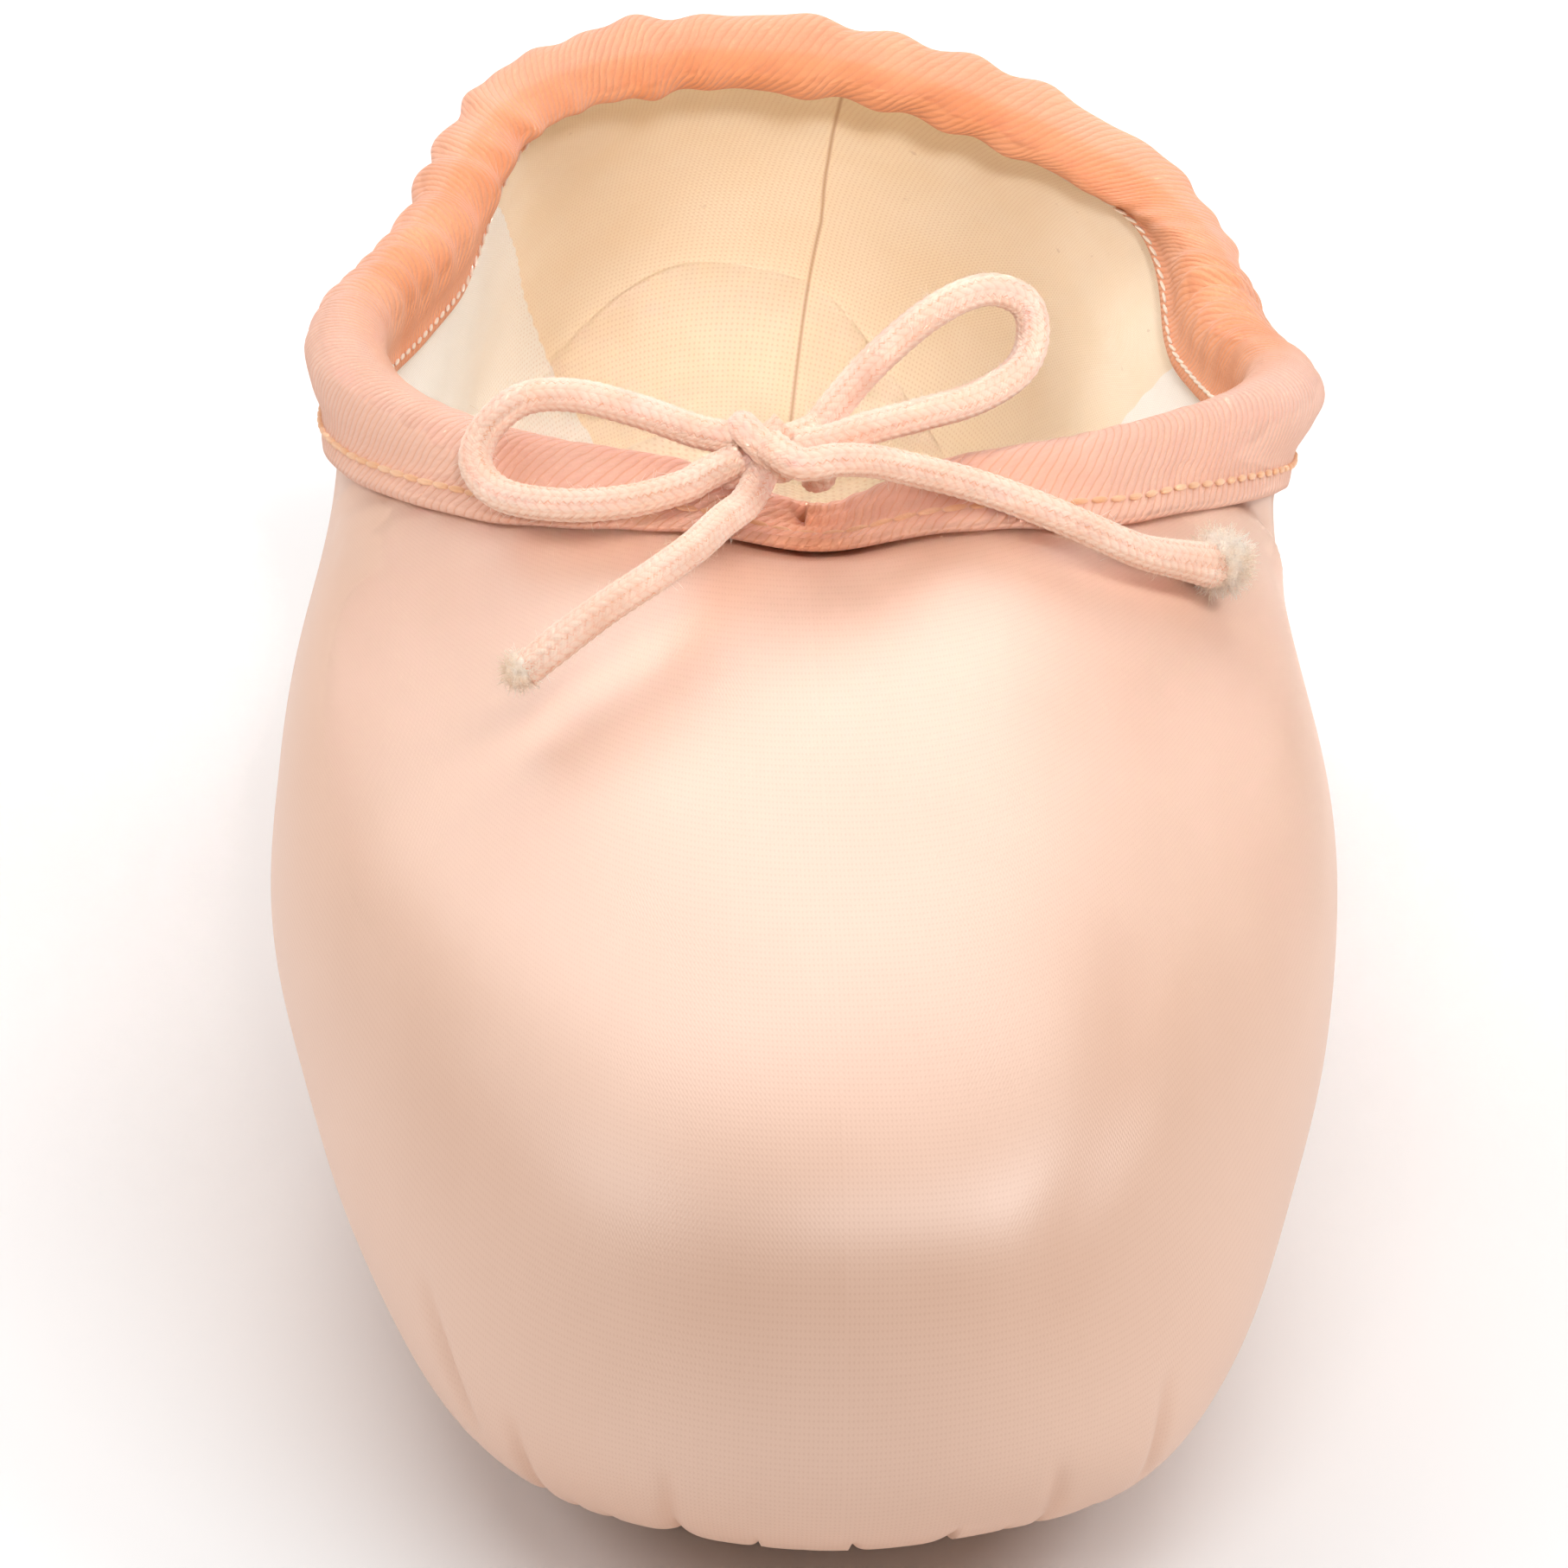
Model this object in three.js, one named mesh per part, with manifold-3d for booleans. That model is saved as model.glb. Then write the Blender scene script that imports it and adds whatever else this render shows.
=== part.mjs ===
// Pointe shoe: a satin upper drawn over a straight last, a leather outsole, an insole,
// a tape binding folded over the collar, and a drawstring tied in a bow at the throat.
// Millimetres, +Z up, toe towards -Y, standing on the sole with the floor at z = 0.

import * as THREE from 'three';
import { mergeVertices } from 'three/addons/utils/BufferGeometryUtils.js';
import Module from 'manifold-3d';

// Driving dimensions of the shoe
const LENGTH = 223;
const BALL_WIDTH = 80;
const INSTEP_HEIGHT = 57;
const HEEL_HEIGHT = 49;
const BOX_WALL = 2.6;
const COLLAR_WALL = 1.4;
const FIT_GAP = 0.3;

// Sole: thickness, the arch under the waist and the spring under the toe
const SOLE_THICKNESS = 3;
const SOLE_EDGE_BEVEL = 0.7;
const SOLE_END_HALF_WIDTH = 8;
const ARCH_RISE = 4;
const ARCH_FROM = 84;
const ARCH_TO = 184;
const TOE_SPRING = 2.5;
const TOE_SPRING_FROM = 44;

// Insole, as thick as a sock of card and canvas
const INSOLE_THICKNESS = 1.5;
const INSOLE_REACH = 0.12;

// The underside follows the sole's rise, and the upper has lost it by this height
const SOLE_TOP = SOLE_THICKNESS + FIT_GAP;
const RISE_FADES_OUT = 26;

// The quarters of a soft heel lean over to one side when nothing fills them
const LEAN_DEGREES = 10.7;
const LEAN_FROM = 88;
const LEAN_FULL = 190;
const LEAN_PIVOT = 5;
const LEAN_HEIGHT = 40;

// The tied string pulls the collar down at the throat; at, width and from are shares of u and v
const PULL_DEPTH = 3.2;
const PULL_AT = 0.008;
const PULL_HALF_WIDTH = 0.05;
const PULL_FROM = 0.955;

// Drawstring
const CORD_DIAMETER = 2.6;
const CORD_SIDES = 8;
const CORD_STEP = 0.8 * CORD_DIAMETER;
const KNOT_CENTRE = [-3.3, 83.4, 61.5];
const KNOT_HALF_SIZES = [3.3, 2.8, 2.7];
const KNOT_WRAP_RADIUS = 1.9;
const KNOT_WRAP_TURN = 20;
const KNOT_FACETS_ROUND = 12;
const KNOT_FACETS_UP = 8;

// Facets round the shoe and from feather line to collar
const FACETS_ROUND = 84;
const FACETS_UP = 17;
const SOLE_FACETS = 64;

const table = (columns, rows) =>
  rows.map((row) => Object.fromEntries(columns.map((name, i) => [name, row[i]])));

// The last, as seven loops of control points from the toe centre round one side to the heel back.
// back, out and up are percentages of the length, half the ball width and the local height;
// the local height goes from the instep's to the heel's as rear goes from 0 to 1.
const STATIONS = table(['name', 'rear'], [
  ['toe centre', 0],
  ['toe corner', 0],
  ['toe side', 0],
  ['ball', 0],
  ['wing', 0.35],
  ['waist', 0.7],
  ['heel side', 1],
  ['heel back', 1],
]);

const SOLE_OPENING = table(['back', 'out'], [
  [13, 0],
  [13.5, 22],
  [18, 39],
  [29, 54],
  [45, 45],
  [67, 30],
  [91, 40],
  [96.5, 0],
]);

const GIRTH = table(['back', 'out', 'up'], [
  [0, 0, 15],
  [1.2, 38, 23],
  [6, 74, 20.5],
  [29, 104, 48],
  [46, 99, 37],
  [67, 73, 32],
  [95, 65, 35],
  [104.5, 0, 39],
]);

const SHOULDER = table(['back', 'out', 'up'], [
  [0.5, 0, 56],
  [2, 37, 53],
  [10.5, 70, 54],
  [31, 107.5, 64],
  [47.5, 94, 57],
  [67.5, 70, 49],
  [93.5, 64, 53],
  [103.5, 0, 59],
]);

const BROW = table(['back', 'out', 'up'], [
  [4.5, 0, 72],
  [6.5, 37, 69],
  [16, 68, 70],
  [37, 99, 76],
  [51.5, 92, 71],
  [68.5, 71, 63],
  [92, 65, 69],
  [102, 0, 75],
]);

const CROWN = table(['back', 'out', 'up'], [
  [20, 0, 85],
  [21.5, 34, 84.5],
  [31.5, 63, 82],
  [44, 91, 82],
  [55.5, 89, 80],
  [69.5, 74, 74],
  [89.5, 68, 84],
  [99.5, 0, 90],
]);

const COLLAR = table(['back', 'out', 'up'], [
  [40.8, 0, 96],
  [38.8, 25, 101.2],
  [38.8, 48, 103],
  [46.5, 80, 97],
  [56.5, 100, 95],
  [71.5, 77, 85],
  [82.5, 79, 100],
  [95, 0, 99],
]);

// Where the underside turns up, as a share of the way from sole opening to girth
const TURN_OUT = 0.7;
const TURN_UP = 0.15;

// The tape's section: down from the upper's edge and out from its outer face
const BINDING_SECTION = table(['down', 'out'], [
  [6, 0.5],
  [6, 1.3],
  [3.2, 1.5],
  [1.4, 2.2],
  [-0.6, 2.4],
  [-2.2, 1.3],
  [-2.8, -0.7],
  [-2.2, -2.7],
  [-0.6, -3.8],
  [1.4, -3.6],
  [3.2, -2.8],
  [5, -2.7],
  [5, -1.9],
  [2.5, -1.9],
  [-0.6, -1.8],
  [-0.6, 0.4],
  [3, 0.55],
]);

const OUTSOLE_OUTLINE = table(['back', 'out'], [
  [10, 0],
  [11, 22],
  [14.5, 44],
  [21, 59],
  [28, 64],
  [41, 56],
  [55, 41],
  [66, 36],
  [77, 41],
  [85, 46],
  [90.5, 41],
  [94, 25],
  [95, 0],
]);

// Routes of the bow, as [across, back from the toe, up]
const LOOP_LEFT = [
  [-6.8, 84.0, 62.0], [-12.3, 85.7, 63.4], [-17.2, 86.7, 64.3], [-21.2, 87.1, 63.8],
  [-24.0, 86.5, 61.4], [-24.6, 84.5, 59.4], [-22.6, 81.7, 58.3], [-18.2, 79.3, 58.5],
  [-13.6, 78.8, 59.0], [-9.4, 80.1, 59.6], [-6.5, 81.7, 60.7],
];
const LOOP_RIGHT = [
  [-0.7, 86.3, 60.8], [2.6, 88.8, 62.9], [5.6, 90.9, 65.6], [9.9, 92.9, 68.6],
  [13.8, 94.3, 69.8], [16.8, 94.7, 68.6], [17.4, 93.5, 66.3], [16.2, 91.3, 64.4],
  [12.8, 88.3, 63.4], [8.4, 85.5, 63.2], [4.6, 83.9, 62.8], [0.5, 83.2, 61.7],
];
const END_RIGHT = [
  [-1.7, 79.7, 62.5], [2.0, 78.9, 62.3], [5.0, 80.3, 61.6], [8.4, 80.8, 60.6],
  [11.8, 80.3, 59.9], [15.0, 79.5, 59.1], [18.4, 78.7, 58.0], [21.6, 78.5, 56.6],
  [25.0, 79.9, 54.5], [28.2, 82.3, 52.8], [30.8, 84.7, 51.3],
];
const END_LEFT = [
  [-4.0, 80.4, 59.5], [-6.6, 75.1, 58.9], [-8.8, 70.5, 58.8], [-11.6, 66.7, 58.3],
  [-15.4, 63.7, 56.9], [-18.6, 62.0, 55.1], [-21.6, 60.7, 53.0],
];

const wasm = await Module();
wasm.setup();

const mix = (a, b, share) => a + (b - a) * share;

const smooth = (low, high, value) => {
  const share = THREE.MathUtils.clamp((value - low) / (high - low), 0, 1);
  return share * share * (3 - 2 * share);
};

// Height of the sole's underside above the floor, back mm from the toe
function soleRise(back) {
  const spring = Math.max(0, (TOE_SPRING_FROM - back) / TOE_SPRING_FROM);
  const along = THREE.MathUtils.clamp((back - ARCH_FROM) / (ARCH_TO - ARCH_FROM), 0, 1);
  return TOE_SPRING * spring ** 2 + ARCH_RISE * Math.sin(Math.PI * along) ** 2;
}

// Turns a point of the quarters over to one side, more towards the heel and the collar
function leaned(point) {
  const share = smooth(LEAN_FROM, LEAN_FULL, point.y)
    * THREE.MathUtils.clamp((point.z - LEAN_PIVOT) / LEAN_HEIGHT, 0, 1);
  const angle = THREE.MathUtils.degToRad(LEAN_DEGREES) * share;
  const height = point.z - LEAN_PIVOT;
  return new THREE.Vector3(
    point.x * Math.cos(angle) + height * Math.sin(angle),
    point.y,
    LEAN_PIVOT + height * Math.cos(angle) - point.x * Math.sin(angle),
  );
}

// Control points of one side of a loop, in mm
function loopSide(rows) {
  return rows.map((row, i) => {
    const tall = mix(INSTEP_HEIGHT, HEEL_HEIGHT, STATIONS[i].rear);
    const back = row.back * LENGTH / 100;
    const up = row.up === undefined ? SOLE_TOP : row.up * tall / 100;
    return new THREE.Vector3(row.out * BALL_WIDTH / 200, back, up);
  });
}

// The whole loop: one side, its mirror image, and the lean
function wholeLoop(side) {
  const mirror = side.slice(1, -1).reverse().map((p) => new THREE.Vector3(-p.x, p.y, p.z));
  return [...side, ...mirror].map(leaned);
}

const opening = loopSide(SOLE_OPENING);
const girth = loopSide(GIRTH);
const turn = opening.map((p, i) => {
  const point = p.clone().lerp(girth[i], TURN_OUT);
  point.z = mix(p.z, girth[i].z, TURN_UP);
  return point;
});
const NET = [
  opening,
  turn,
  girth,
  loopSide(SHOULDER),
  loopSide(BROW),
  loopSide(CROWN),
  loopSide(COLLAR),
].map(wholeLoop);

// Uniform cubic B-spline weights of four neighbours
const weights = (f) => [
  (1 - f) ** 3 / 6,
  (3 * f ** 3 - 6 * f ** 2 + 4) / 6,
  (-3 * f ** 3 + 3 * f ** 2 + 3 * f + 1) / 6,
  f ** 3 / 6,
];

function blend(points, f) {
  const sum = new THREE.Vector3();
  weights(f).forEach((weight, i) => sum.addScaledVector(points[i], weight));
  return sum;
}

function onLoop(loop, u) {
  const place = (((u % 1) + 1) % 1) * loop.length;
  const first = Math.floor(place);
  const near = [-1, 0, 1, 2].map((step) => loop[(first + step + loop.length) % loop.length]);
  return blend(near, place - first);
}

function onProfile(points, v) {
  const last = points.length - 1;
  const place = THREE.MathUtils.clamp(v, 0, 1) * last;
  const first = Math.min(Math.floor(place), last - 1);
  const before = points[0].clone().multiplyScalar(2).sub(points[1]);
  const after = points[last].clone().multiplyScalar(2).sub(points[last - 1]);
  const padded = [before, ...points, after];
  return blend(padded.slice(first, first + 4), place - first);
}

const netPoint = (u, v) => onProfile(NET.map((loop) => onLoop(loop, u)), v);

// A spline stays a little inside its control points, so the surface is stretched to the named length
const PROBES_ROUND = 4 * FACETS_ROUND;
const PROBE_LEVELS = [0.3, 0.4, 0.5];
const netRows = Array.from({ length: PROBES_ROUND }, (_, i) => i / PROBES_ROUND)
  .flatMap((u) => PROBE_LEVELS.map((v) => netPoint(u, v).y));
const netToe = Math.min(...netRows);
const netStretch = LENGTH / (Math.max(...netRows) - netToe);

// Outer face of the upper: u goes round from the toe centre, v from the sole opening to the collar
function skin(u, v) {
  const point = netPoint(u, v);
  point.y = (point.y - netToe) * netStretch;
  point.z += soleRise(point.y) * (1 - smooth(SOLE_TOP, RISE_FADES_OUT, point.z));
  const fromPull = (THREE.MathUtils.euclideanModulo(u - PULL_AT + 0.5, 1) - 0.5) / PULL_HALF_WIDTH;
  point.z -= PULL_DEPTH * Math.exp(-(fromPull ** 2)) * smooth(PULL_FROM, 1, v);
  return point;
}

const SLOPE_STEP = 1e-3;

function outward(u, v) {
  const step = SLOPE_STEP;
  const low = Math.max(v - step, 0);
  const high = Math.min(v + step, 1);
  const round = skin(u + step, v).sub(skin(u - step, v));
  const up = skin(u, high).sub(skin(u, low));
  return round.cross(up).normalize();
}

const wallAt = (v) => mix(BOX_WALL, COLLAR_WALL, v);

// A point off the outer face, out mm outwards
const offSkin = (u, v, out) => skin(u, v).addScaledVector(outward(u, v), out);

const COLLAR_STEP = 0.01;

// A point measured down from the collar edge, over the edge where down is negative
function offCollar(u, down, out) {
  const step = COLLAR_STEP;
  if (down <= 0) {
    const up = skin(u, 1).sub(skin(u, 1 - step)).normalize();
    return offSkin(u, 1, out).addScaledVector(up, -down);
  }
  let v = 1;
  let gone = 0;
  let here = skin(u, 1);
  while (gone < down) {
    const next = skin(u, v - step);
    const reach = next.distanceTo(here);
    const share = Math.min(1, (down - gone) / reach);
    v -= step * share;
    gone += reach * share;
    here = next;
    if (share < 1) break;
  }
  return offSkin(u, v, out);
}

const ringOf = (count, pointAt) => Array.from({ length: count }, (_, i) => pointAt(i / count));

// A closed solid through rings of equal count, either joined end to end or capped at both ends.
// A cap is a strip between points that mirror each other, so it stays flat across the shoe.
function solidOfRings(rings, capped) {
  const count = rings[0].length;
  const positions = rings.flat().flatMap((p) => [p.x, p.y, p.z]);
  const faces = [];
  const quad = (a, b, c, d) => faces.push(a, b, c, a, c, d);
  const bands = capped ? rings.length - 1 : rings.length;
  for (let k = 0; k < bands; k += 1) {
    const low = k * count;
    const high = ((k + 1) % rings.length) * count;
    for (let i = 0; i < count; i += 1) {
      const next = (i + 1) % count;
      quad(low + i, low + next, high + next, high + i);
    }
  }
  const cap = (start, flip) => {
    for (let i = 0; i < count / 2; i += 1) {
      const a = start + i;
      const b = start + i + 1;
      const c = start + (count - i - 1) % count;
      const d = start + (count - i) % count;
      const strip = [[a, b, c], [a, c, d]].filter((face) => new Set(face).size === 3);
      strip.forEach(([p, q, r]) => faces.push(...(flip ? [p, r, q] : [p, q, r])));
    }
  };
  if (capped) {
    cap(0, true);
    cap((rings.length - 1) * count, false);
  }
  const geometry = new THREE.BufferGeometry();
  geometry.setAttribute('position', new THREE.Float32BufferAttribute(positions, 3));
  geometry.setIndex(faces);
  return facingOut(geometry);
}

// Turns the faces round where they enclose a negative volume
function facingOut(geometry) {
  const at = geometry.attributes.position;
  const index = geometry.index.array;
  const corner = (i) => new THREE.Vector3().fromBufferAttribute(at, index[i]);
  let volume = 0;
  for (let i = 0; i < index.length; i += 3) {
    volume += corner(i).dot(corner(i + 1).cross(corner(i + 2)));
  }
  if (volume < 0) {
    geometry.setIndex(Array.from(index).reverse());
  }
  geometry.computeVertexNormals();
  return geometry;
}

function upperGeometry() {
  const levels = Array.from({ length: FACETS_UP + 1 }, (_, k) => k / FACETS_UP);
  const outer = levels.map((v) => ringOf(FACETS_ROUND, (u) => skin(u, v)));
  const inner = levels.map((v) => ringOf(FACETS_ROUND, (u) => offSkin(u, v, -wallAt(v))));
  return solidOfRings([...outer, ...inner.reverse()], false);
}

function bindingGeometry() {
  const rings = BINDING_SECTION.map((row) => ringOf(FACETS_ROUND, (u) => offCollar(u, row.down, row.out)));
  return solidOfRings(rings, false);
}

function insoleGeometry() {
  const levels = [0, INSOLE_REACH / 2, INSOLE_REACH];
  const layer = (depth) =>
    levels.map((v) => ringOf(FACETS_ROUND, (u) => offSkin(u, v, -wallAt(v) - depth)));
  const under = layer(FIT_GAP);
  const top = layer(FIT_GAP + INSOLE_THICKNESS).reverse();
  return solidOfRings([...under, ...top], true);
}

function outsoleGeometry() {
  const side = OUTSOLE_OUTLINE.map((row) =>
    new THREE.Vector3(row.out * BALL_WIDTH / 200, row.back * LENGTH / 100, 0));
  const mirror = side.slice(1, -1).reverse().map((p) => new THREE.Vector3(-p.x, p.y, 0));
  const outline = new THREE.CatmullRomCurve3([...side, ...mirror], true, 'centripetal');
  const middle = (OUTSOLE_OUTLINE[0].back + OUTSOLE_OUTLINE.at(-1).back) * LENGTH / 200;
  const ring = (inset, height) => ringOf(SOLE_FACETS, (u) => {
    const edge = outline.getPoint(u);
    const inward = new THREE.Vector3(-Math.sign(edge.x), 0, 0);
    if (Math.abs(edge.x) < SOLE_END_HALF_WIDTH) {
      inward.set(0, Math.sign(middle - edge.y), 0);
    }
    edge.addScaledVector(inward, inset);
    edge.z = soleRise(edge.y) + height;
    return edge;
  });
  const rings = [
    ring(SOLE_EDGE_BEVEL, 0),
    ring(0, SOLE_EDGE_BEVEL),
    ring(0, SOLE_THICKNESS - SOLE_EDGE_BEVEL),
    ring(SOLE_EDGE_BEVEL, SOLE_THICKNESS),
  ];
  return solidOfRings(rings, true);
}

const MERGE_WITHIN = 1e-4;

const asManifold = (geometry) => {
  const bare = geometry.clone();
  bare.deleteAttribute('normal');
  bare.deleteAttribute('uv');
  const merged = mergeVertices(bare, MERGE_WITHIN);
  return new wasm.Manifold(new wasm.Mesh({
    numProp: 3,
    vertProperties: Float32Array.from(merged.attributes.position.array),
    triVerts: Uint32Array.from(merged.index.array),
  }));
};

const fromManifold = (solid) => {
  const mesh = solid.getMesh();
  const geometry = new THREE.BufferGeometry();
  geometry.setAttribute('position', new THREE.Float32BufferAttribute(mesh.vertProperties, 3));
  geometry.setIndex(Array.from(mesh.triVerts));
  geometry.computeVertexNormals();
  return geometry;
};

// The knot: a tight core with one strand wrapped round it
function knotGeometry() {
  const core = new THREE.SphereGeometry(1, KNOT_FACETS_ROUND, KNOT_FACETS_UP);
  core.scale(...KNOT_HALF_SIZES);
  const wrap = new THREE.TorusGeometry(KNOT_WRAP_RADIUS, CORD_DIAMETER / 2, CORD_SIDES, KNOT_FACETS_ROUND);
  wrap.rotateY(Math.PI / 2);
  wrap.rotateZ(THREE.MathUtils.degToRad(KNOT_WRAP_TURN));
  const knot = fromManifold(asManifold(core).add(asManifold(wrap)));
  knot.translate(...KNOT_CENTRE);
  return knot;
}

function cordGeometry(route) {
  const path = new THREE.CatmullRomCurve3(route.map((p) => new THREE.Vector3(...p)), false, 'centripetal');
  const section = new THREE.Shape(ringOf(CORD_SIDES, (turn) => new THREE.Vector2(
    Math.cos(2 * Math.PI * turn) * CORD_DIAMETER / 2,
    Math.sin(2 * Math.PI * turn) * CORD_DIAMETER / 2,
  )));
  const steps = Math.ceil(path.getLength() / CORD_STEP);
  return new THREE.ExtrudeGeometry(section, { steps, extrudePath: path, bevelEnabled: false });
}

const finish = (colour, roughness) =>
  new THREE.MeshStandardMaterial({ color: colour, roughness, metalness: 0 });

const satin = finish(0xf3d6c1, 0.45);
const tape = finish(0xeabfa4, 0.75);
const leather = finish(0xc9a27c, 0.7);
const canvas = finish(0xecc79c, 0.9);
const cotton = finish(0xf0d6bd, 0.85);

const pieces = {
  upper: [upperGeometry(), satin],
  outsole: [outsoleGeometry(), leather],
  insole: [insoleGeometry(), canvas],
  collar_binding: [bindingGeometry(), tape],
};

const drawstring = {
  drawstring_knot: [knotGeometry(), cotton],
  drawstring_loop_left: [cordGeometry(LOOP_LEFT), cotton],
  drawstring_loop_right: [cordGeometry(LOOP_RIGHT), cotton],
  drawstring_end_left: [cordGeometry(END_LEFT), cotton],
  drawstring_end_right: [cordGeometry(END_RIGHT), cotton],
};

const shoe = new THREE.Group();

function addAll(group) {
  Object.entries(group).forEach(([name, [geometry, material]]) => {
    const mesh = new THREE.Mesh(geometry, material);
    mesh.name = name;
    shoe.add(mesh);
  });
}

// The shoe without its drawstring is centred over the origin
addAll(pieces);
const centre = new THREE.Box3().setFromObject(shoe).getCenter(new THREE.Vector3());
addAll(drawstring);
shoe.position.set(-centre.x, -centre.y, 0);

export default shoe;
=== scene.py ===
# %% [markdown]
# # A satin pointe shoe
# A pointe shoe is a satin slipper built on a stiff box of paste and canvas, with a thin leather
# outsole, a canvas insole, a bound collar and a cotton drawstring that is tied in a bow at the throat.
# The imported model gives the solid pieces. This lesson dresses them: it draws each surface again with
# its pleats, gathers, weave and stitches, in the same place and at the same size.

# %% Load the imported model
import bpy
import numpy as np
from mathutils import Matrix, Vector


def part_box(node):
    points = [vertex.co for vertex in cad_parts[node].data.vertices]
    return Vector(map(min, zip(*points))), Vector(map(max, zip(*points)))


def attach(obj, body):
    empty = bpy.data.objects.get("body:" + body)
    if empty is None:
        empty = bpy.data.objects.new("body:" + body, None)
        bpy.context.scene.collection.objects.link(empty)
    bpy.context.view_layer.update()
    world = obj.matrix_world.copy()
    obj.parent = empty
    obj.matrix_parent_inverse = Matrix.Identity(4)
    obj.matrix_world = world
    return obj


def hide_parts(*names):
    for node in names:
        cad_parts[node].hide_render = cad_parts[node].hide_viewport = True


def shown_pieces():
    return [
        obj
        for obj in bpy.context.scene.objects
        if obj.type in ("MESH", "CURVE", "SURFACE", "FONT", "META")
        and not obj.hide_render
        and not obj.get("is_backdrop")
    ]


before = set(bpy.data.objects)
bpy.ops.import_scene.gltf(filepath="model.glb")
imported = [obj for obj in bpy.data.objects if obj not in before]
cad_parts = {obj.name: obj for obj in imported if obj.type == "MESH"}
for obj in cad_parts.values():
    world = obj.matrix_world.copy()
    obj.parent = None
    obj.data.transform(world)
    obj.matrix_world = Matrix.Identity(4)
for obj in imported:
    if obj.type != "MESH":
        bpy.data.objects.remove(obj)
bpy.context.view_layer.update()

MM = 0.001
print("pieces in the packed model:", sorted(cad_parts))

# %% [markdown]
# ## The camera
# The photograph looks down on the toe from a long way off, so the sides hardly converge. A long lens far
# from the shoe gives the same view. Aiming the camera by a look-at constraint would work too, but the
# photograph is rolled by about a degree, so the three camera axes are worked out and set as one matrix.

# %% Camera
VIEW_POINT = np.array([-1.3, -43.0, 31.1])
VIEW_DISTANCE = 1150.0
VIEW_ELEVATION = np.radians(24.11)
VIEW_YAW = np.radians(-2.87)
VIEW_ROLL = np.radians(1.10)
PHOTO_PIXELS = 1814
VIEW_POINT_PIXEL = (934, 1040)
FOCAL_PIXELS = 17813.5
SENSOR_WIDTH = 36.0


def unit(vector):
    return vector / np.linalg.norm(vector)


backward = np.array([
    np.sin(VIEW_YAW) * np.cos(VIEW_ELEVATION),
    -np.cos(VIEW_YAW) * np.cos(VIEW_ELEVATION),
    np.sin(VIEW_ELEVATION),
])
level_right = unit(np.cross(-backward, [0, 0, 1]))
level_up = np.cross(level_right, -backward)
view_right = level_right * np.cos(VIEW_ROLL) + level_up * np.sin(VIEW_ROLL)
view_up = level_up * np.cos(VIEW_ROLL) - level_right * np.sin(VIEW_ROLL)
camera_place = VIEW_POINT + backward * VIEW_DISTANCE

across = PHOTO_PIXELS / 2 - VIEW_POINT_PIXEL[0]
upward = VIEW_POINT_PIXEL[1] - PHOTO_PIXELS / 2
aim = unit(-backward * FOCAL_PIXELS + view_right * across + view_up * upward)
frame_right = unit(np.cross(aim, view_up))
frame_up = np.cross(frame_right, aim)

camera_data = bpy.data.cameras.new("camera")
camera_data.sensor_width = SENSOR_WIDTH
camera_data.lens = FOCAL_PIXELS / PHOTO_PIXELS * SENSOR_WIDTH
camera_data.clip_end = 20
camera = bpy.data.objects.new("camera", camera_data)
bpy.context.scene.collection.objects.link(camera)
axes = np.column_stack([frame_right, frame_up, -aim, camera_place * MM])
camera.matrix_world = Matrix([*axes.tolist(), [0, 0, 0, 1]])
bpy.context.scene.camera = camera
print(f"lens {camera_data.lens:.1f} mm at {VIEW_DISTANCE} mm from the shoe")

# %% [markdown]
# ## Helpers for lofted pieces
# Almost everything on a shoe is a strip or a skin that runs round it, so one helper serves them all: it
# takes rows of rings, joins each ring to the next and turns the faces outwards. Bmesh bridging would do
# the same, but rings from arrays keep the seams closed and give a texture map in millimetres for free.

# %% Lofting helper


def smooth_step(low, high, value):
    share = np.clip((value - low) / (high - low), 0, 1)
    return share * share * (3 - 2 * share)


def link_piece(name, mesh):
    piece = bpy.data.objects.new(name, mesh)
    bpy.context.scene.collection.objects.link(piece)
    return piece


def lofted_piece(name, rings, texture, ends_meet=True):
    """Rings of points in millimetres. Where the ends don't meet, each gets a cap."""
    ring_count, point_count = rings.shape[:2]
    rows = ring_count if ends_meet else ring_count - 1
    ring, point = np.meshgrid(np.arange(rows), np.arange(point_count), indexing="ij")
    ring, point = ring.ravel(), point.ravel()
    next_ring = (ring + 1) % ring_count
    next_point = (point + 1) % point_count
    faces = np.column_stack([
        ring * point_count + point,
        ring * point_count + next_point,
        next_ring * point_count + next_point,
        next_ring * point_count + point,
    ])
    corners = np.stack([
        texture[ring, point],
        texture[ring, point + 1],
        texture[ring + 1, point + 1],
        texture[ring + 1, point],
    ], axis=1)
    vertices = rings.reshape(-1, 3)
    a, b, c, d = (vertices[faces[:, i]] for i in range(4))
    volume = np.sum(np.cross(b - a, c - a) * a) + np.sum(np.cross(c - a, d - a) * a)
    if volume < 0:
        faces = faces[:, ::-1]
        corners = corners[:, ::-1]
    polygons = faces.tolist()
    corner_list = corners.reshape(-1, 2)
    if not ends_meet:
        first = list(range(point_count))
        last = list(range((ring_count - 1) * point_count, ring_count * point_count))
        caps = [first[::-1], last] if volume > 0 else [first, last[::-1]]
        polygons += caps
        corner_list = np.vstack([corner_list, np.zeros((2 * point_count, 2))])
    mesh = bpy.data.meshes.new(name)
    mesh.from_pydata((vertices * MM).tolist(), [], polygons)
    mesh.uv_layers.new(name="Surface").data.foreach_set("uv", corner_list.astype(np.float32).ravel())
    mesh.polygons.foreach_set("use_smooth", np.ones(len(mesh.polygons), bool))
    mesh.update()
    return link_piece(name, mesh)


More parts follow.
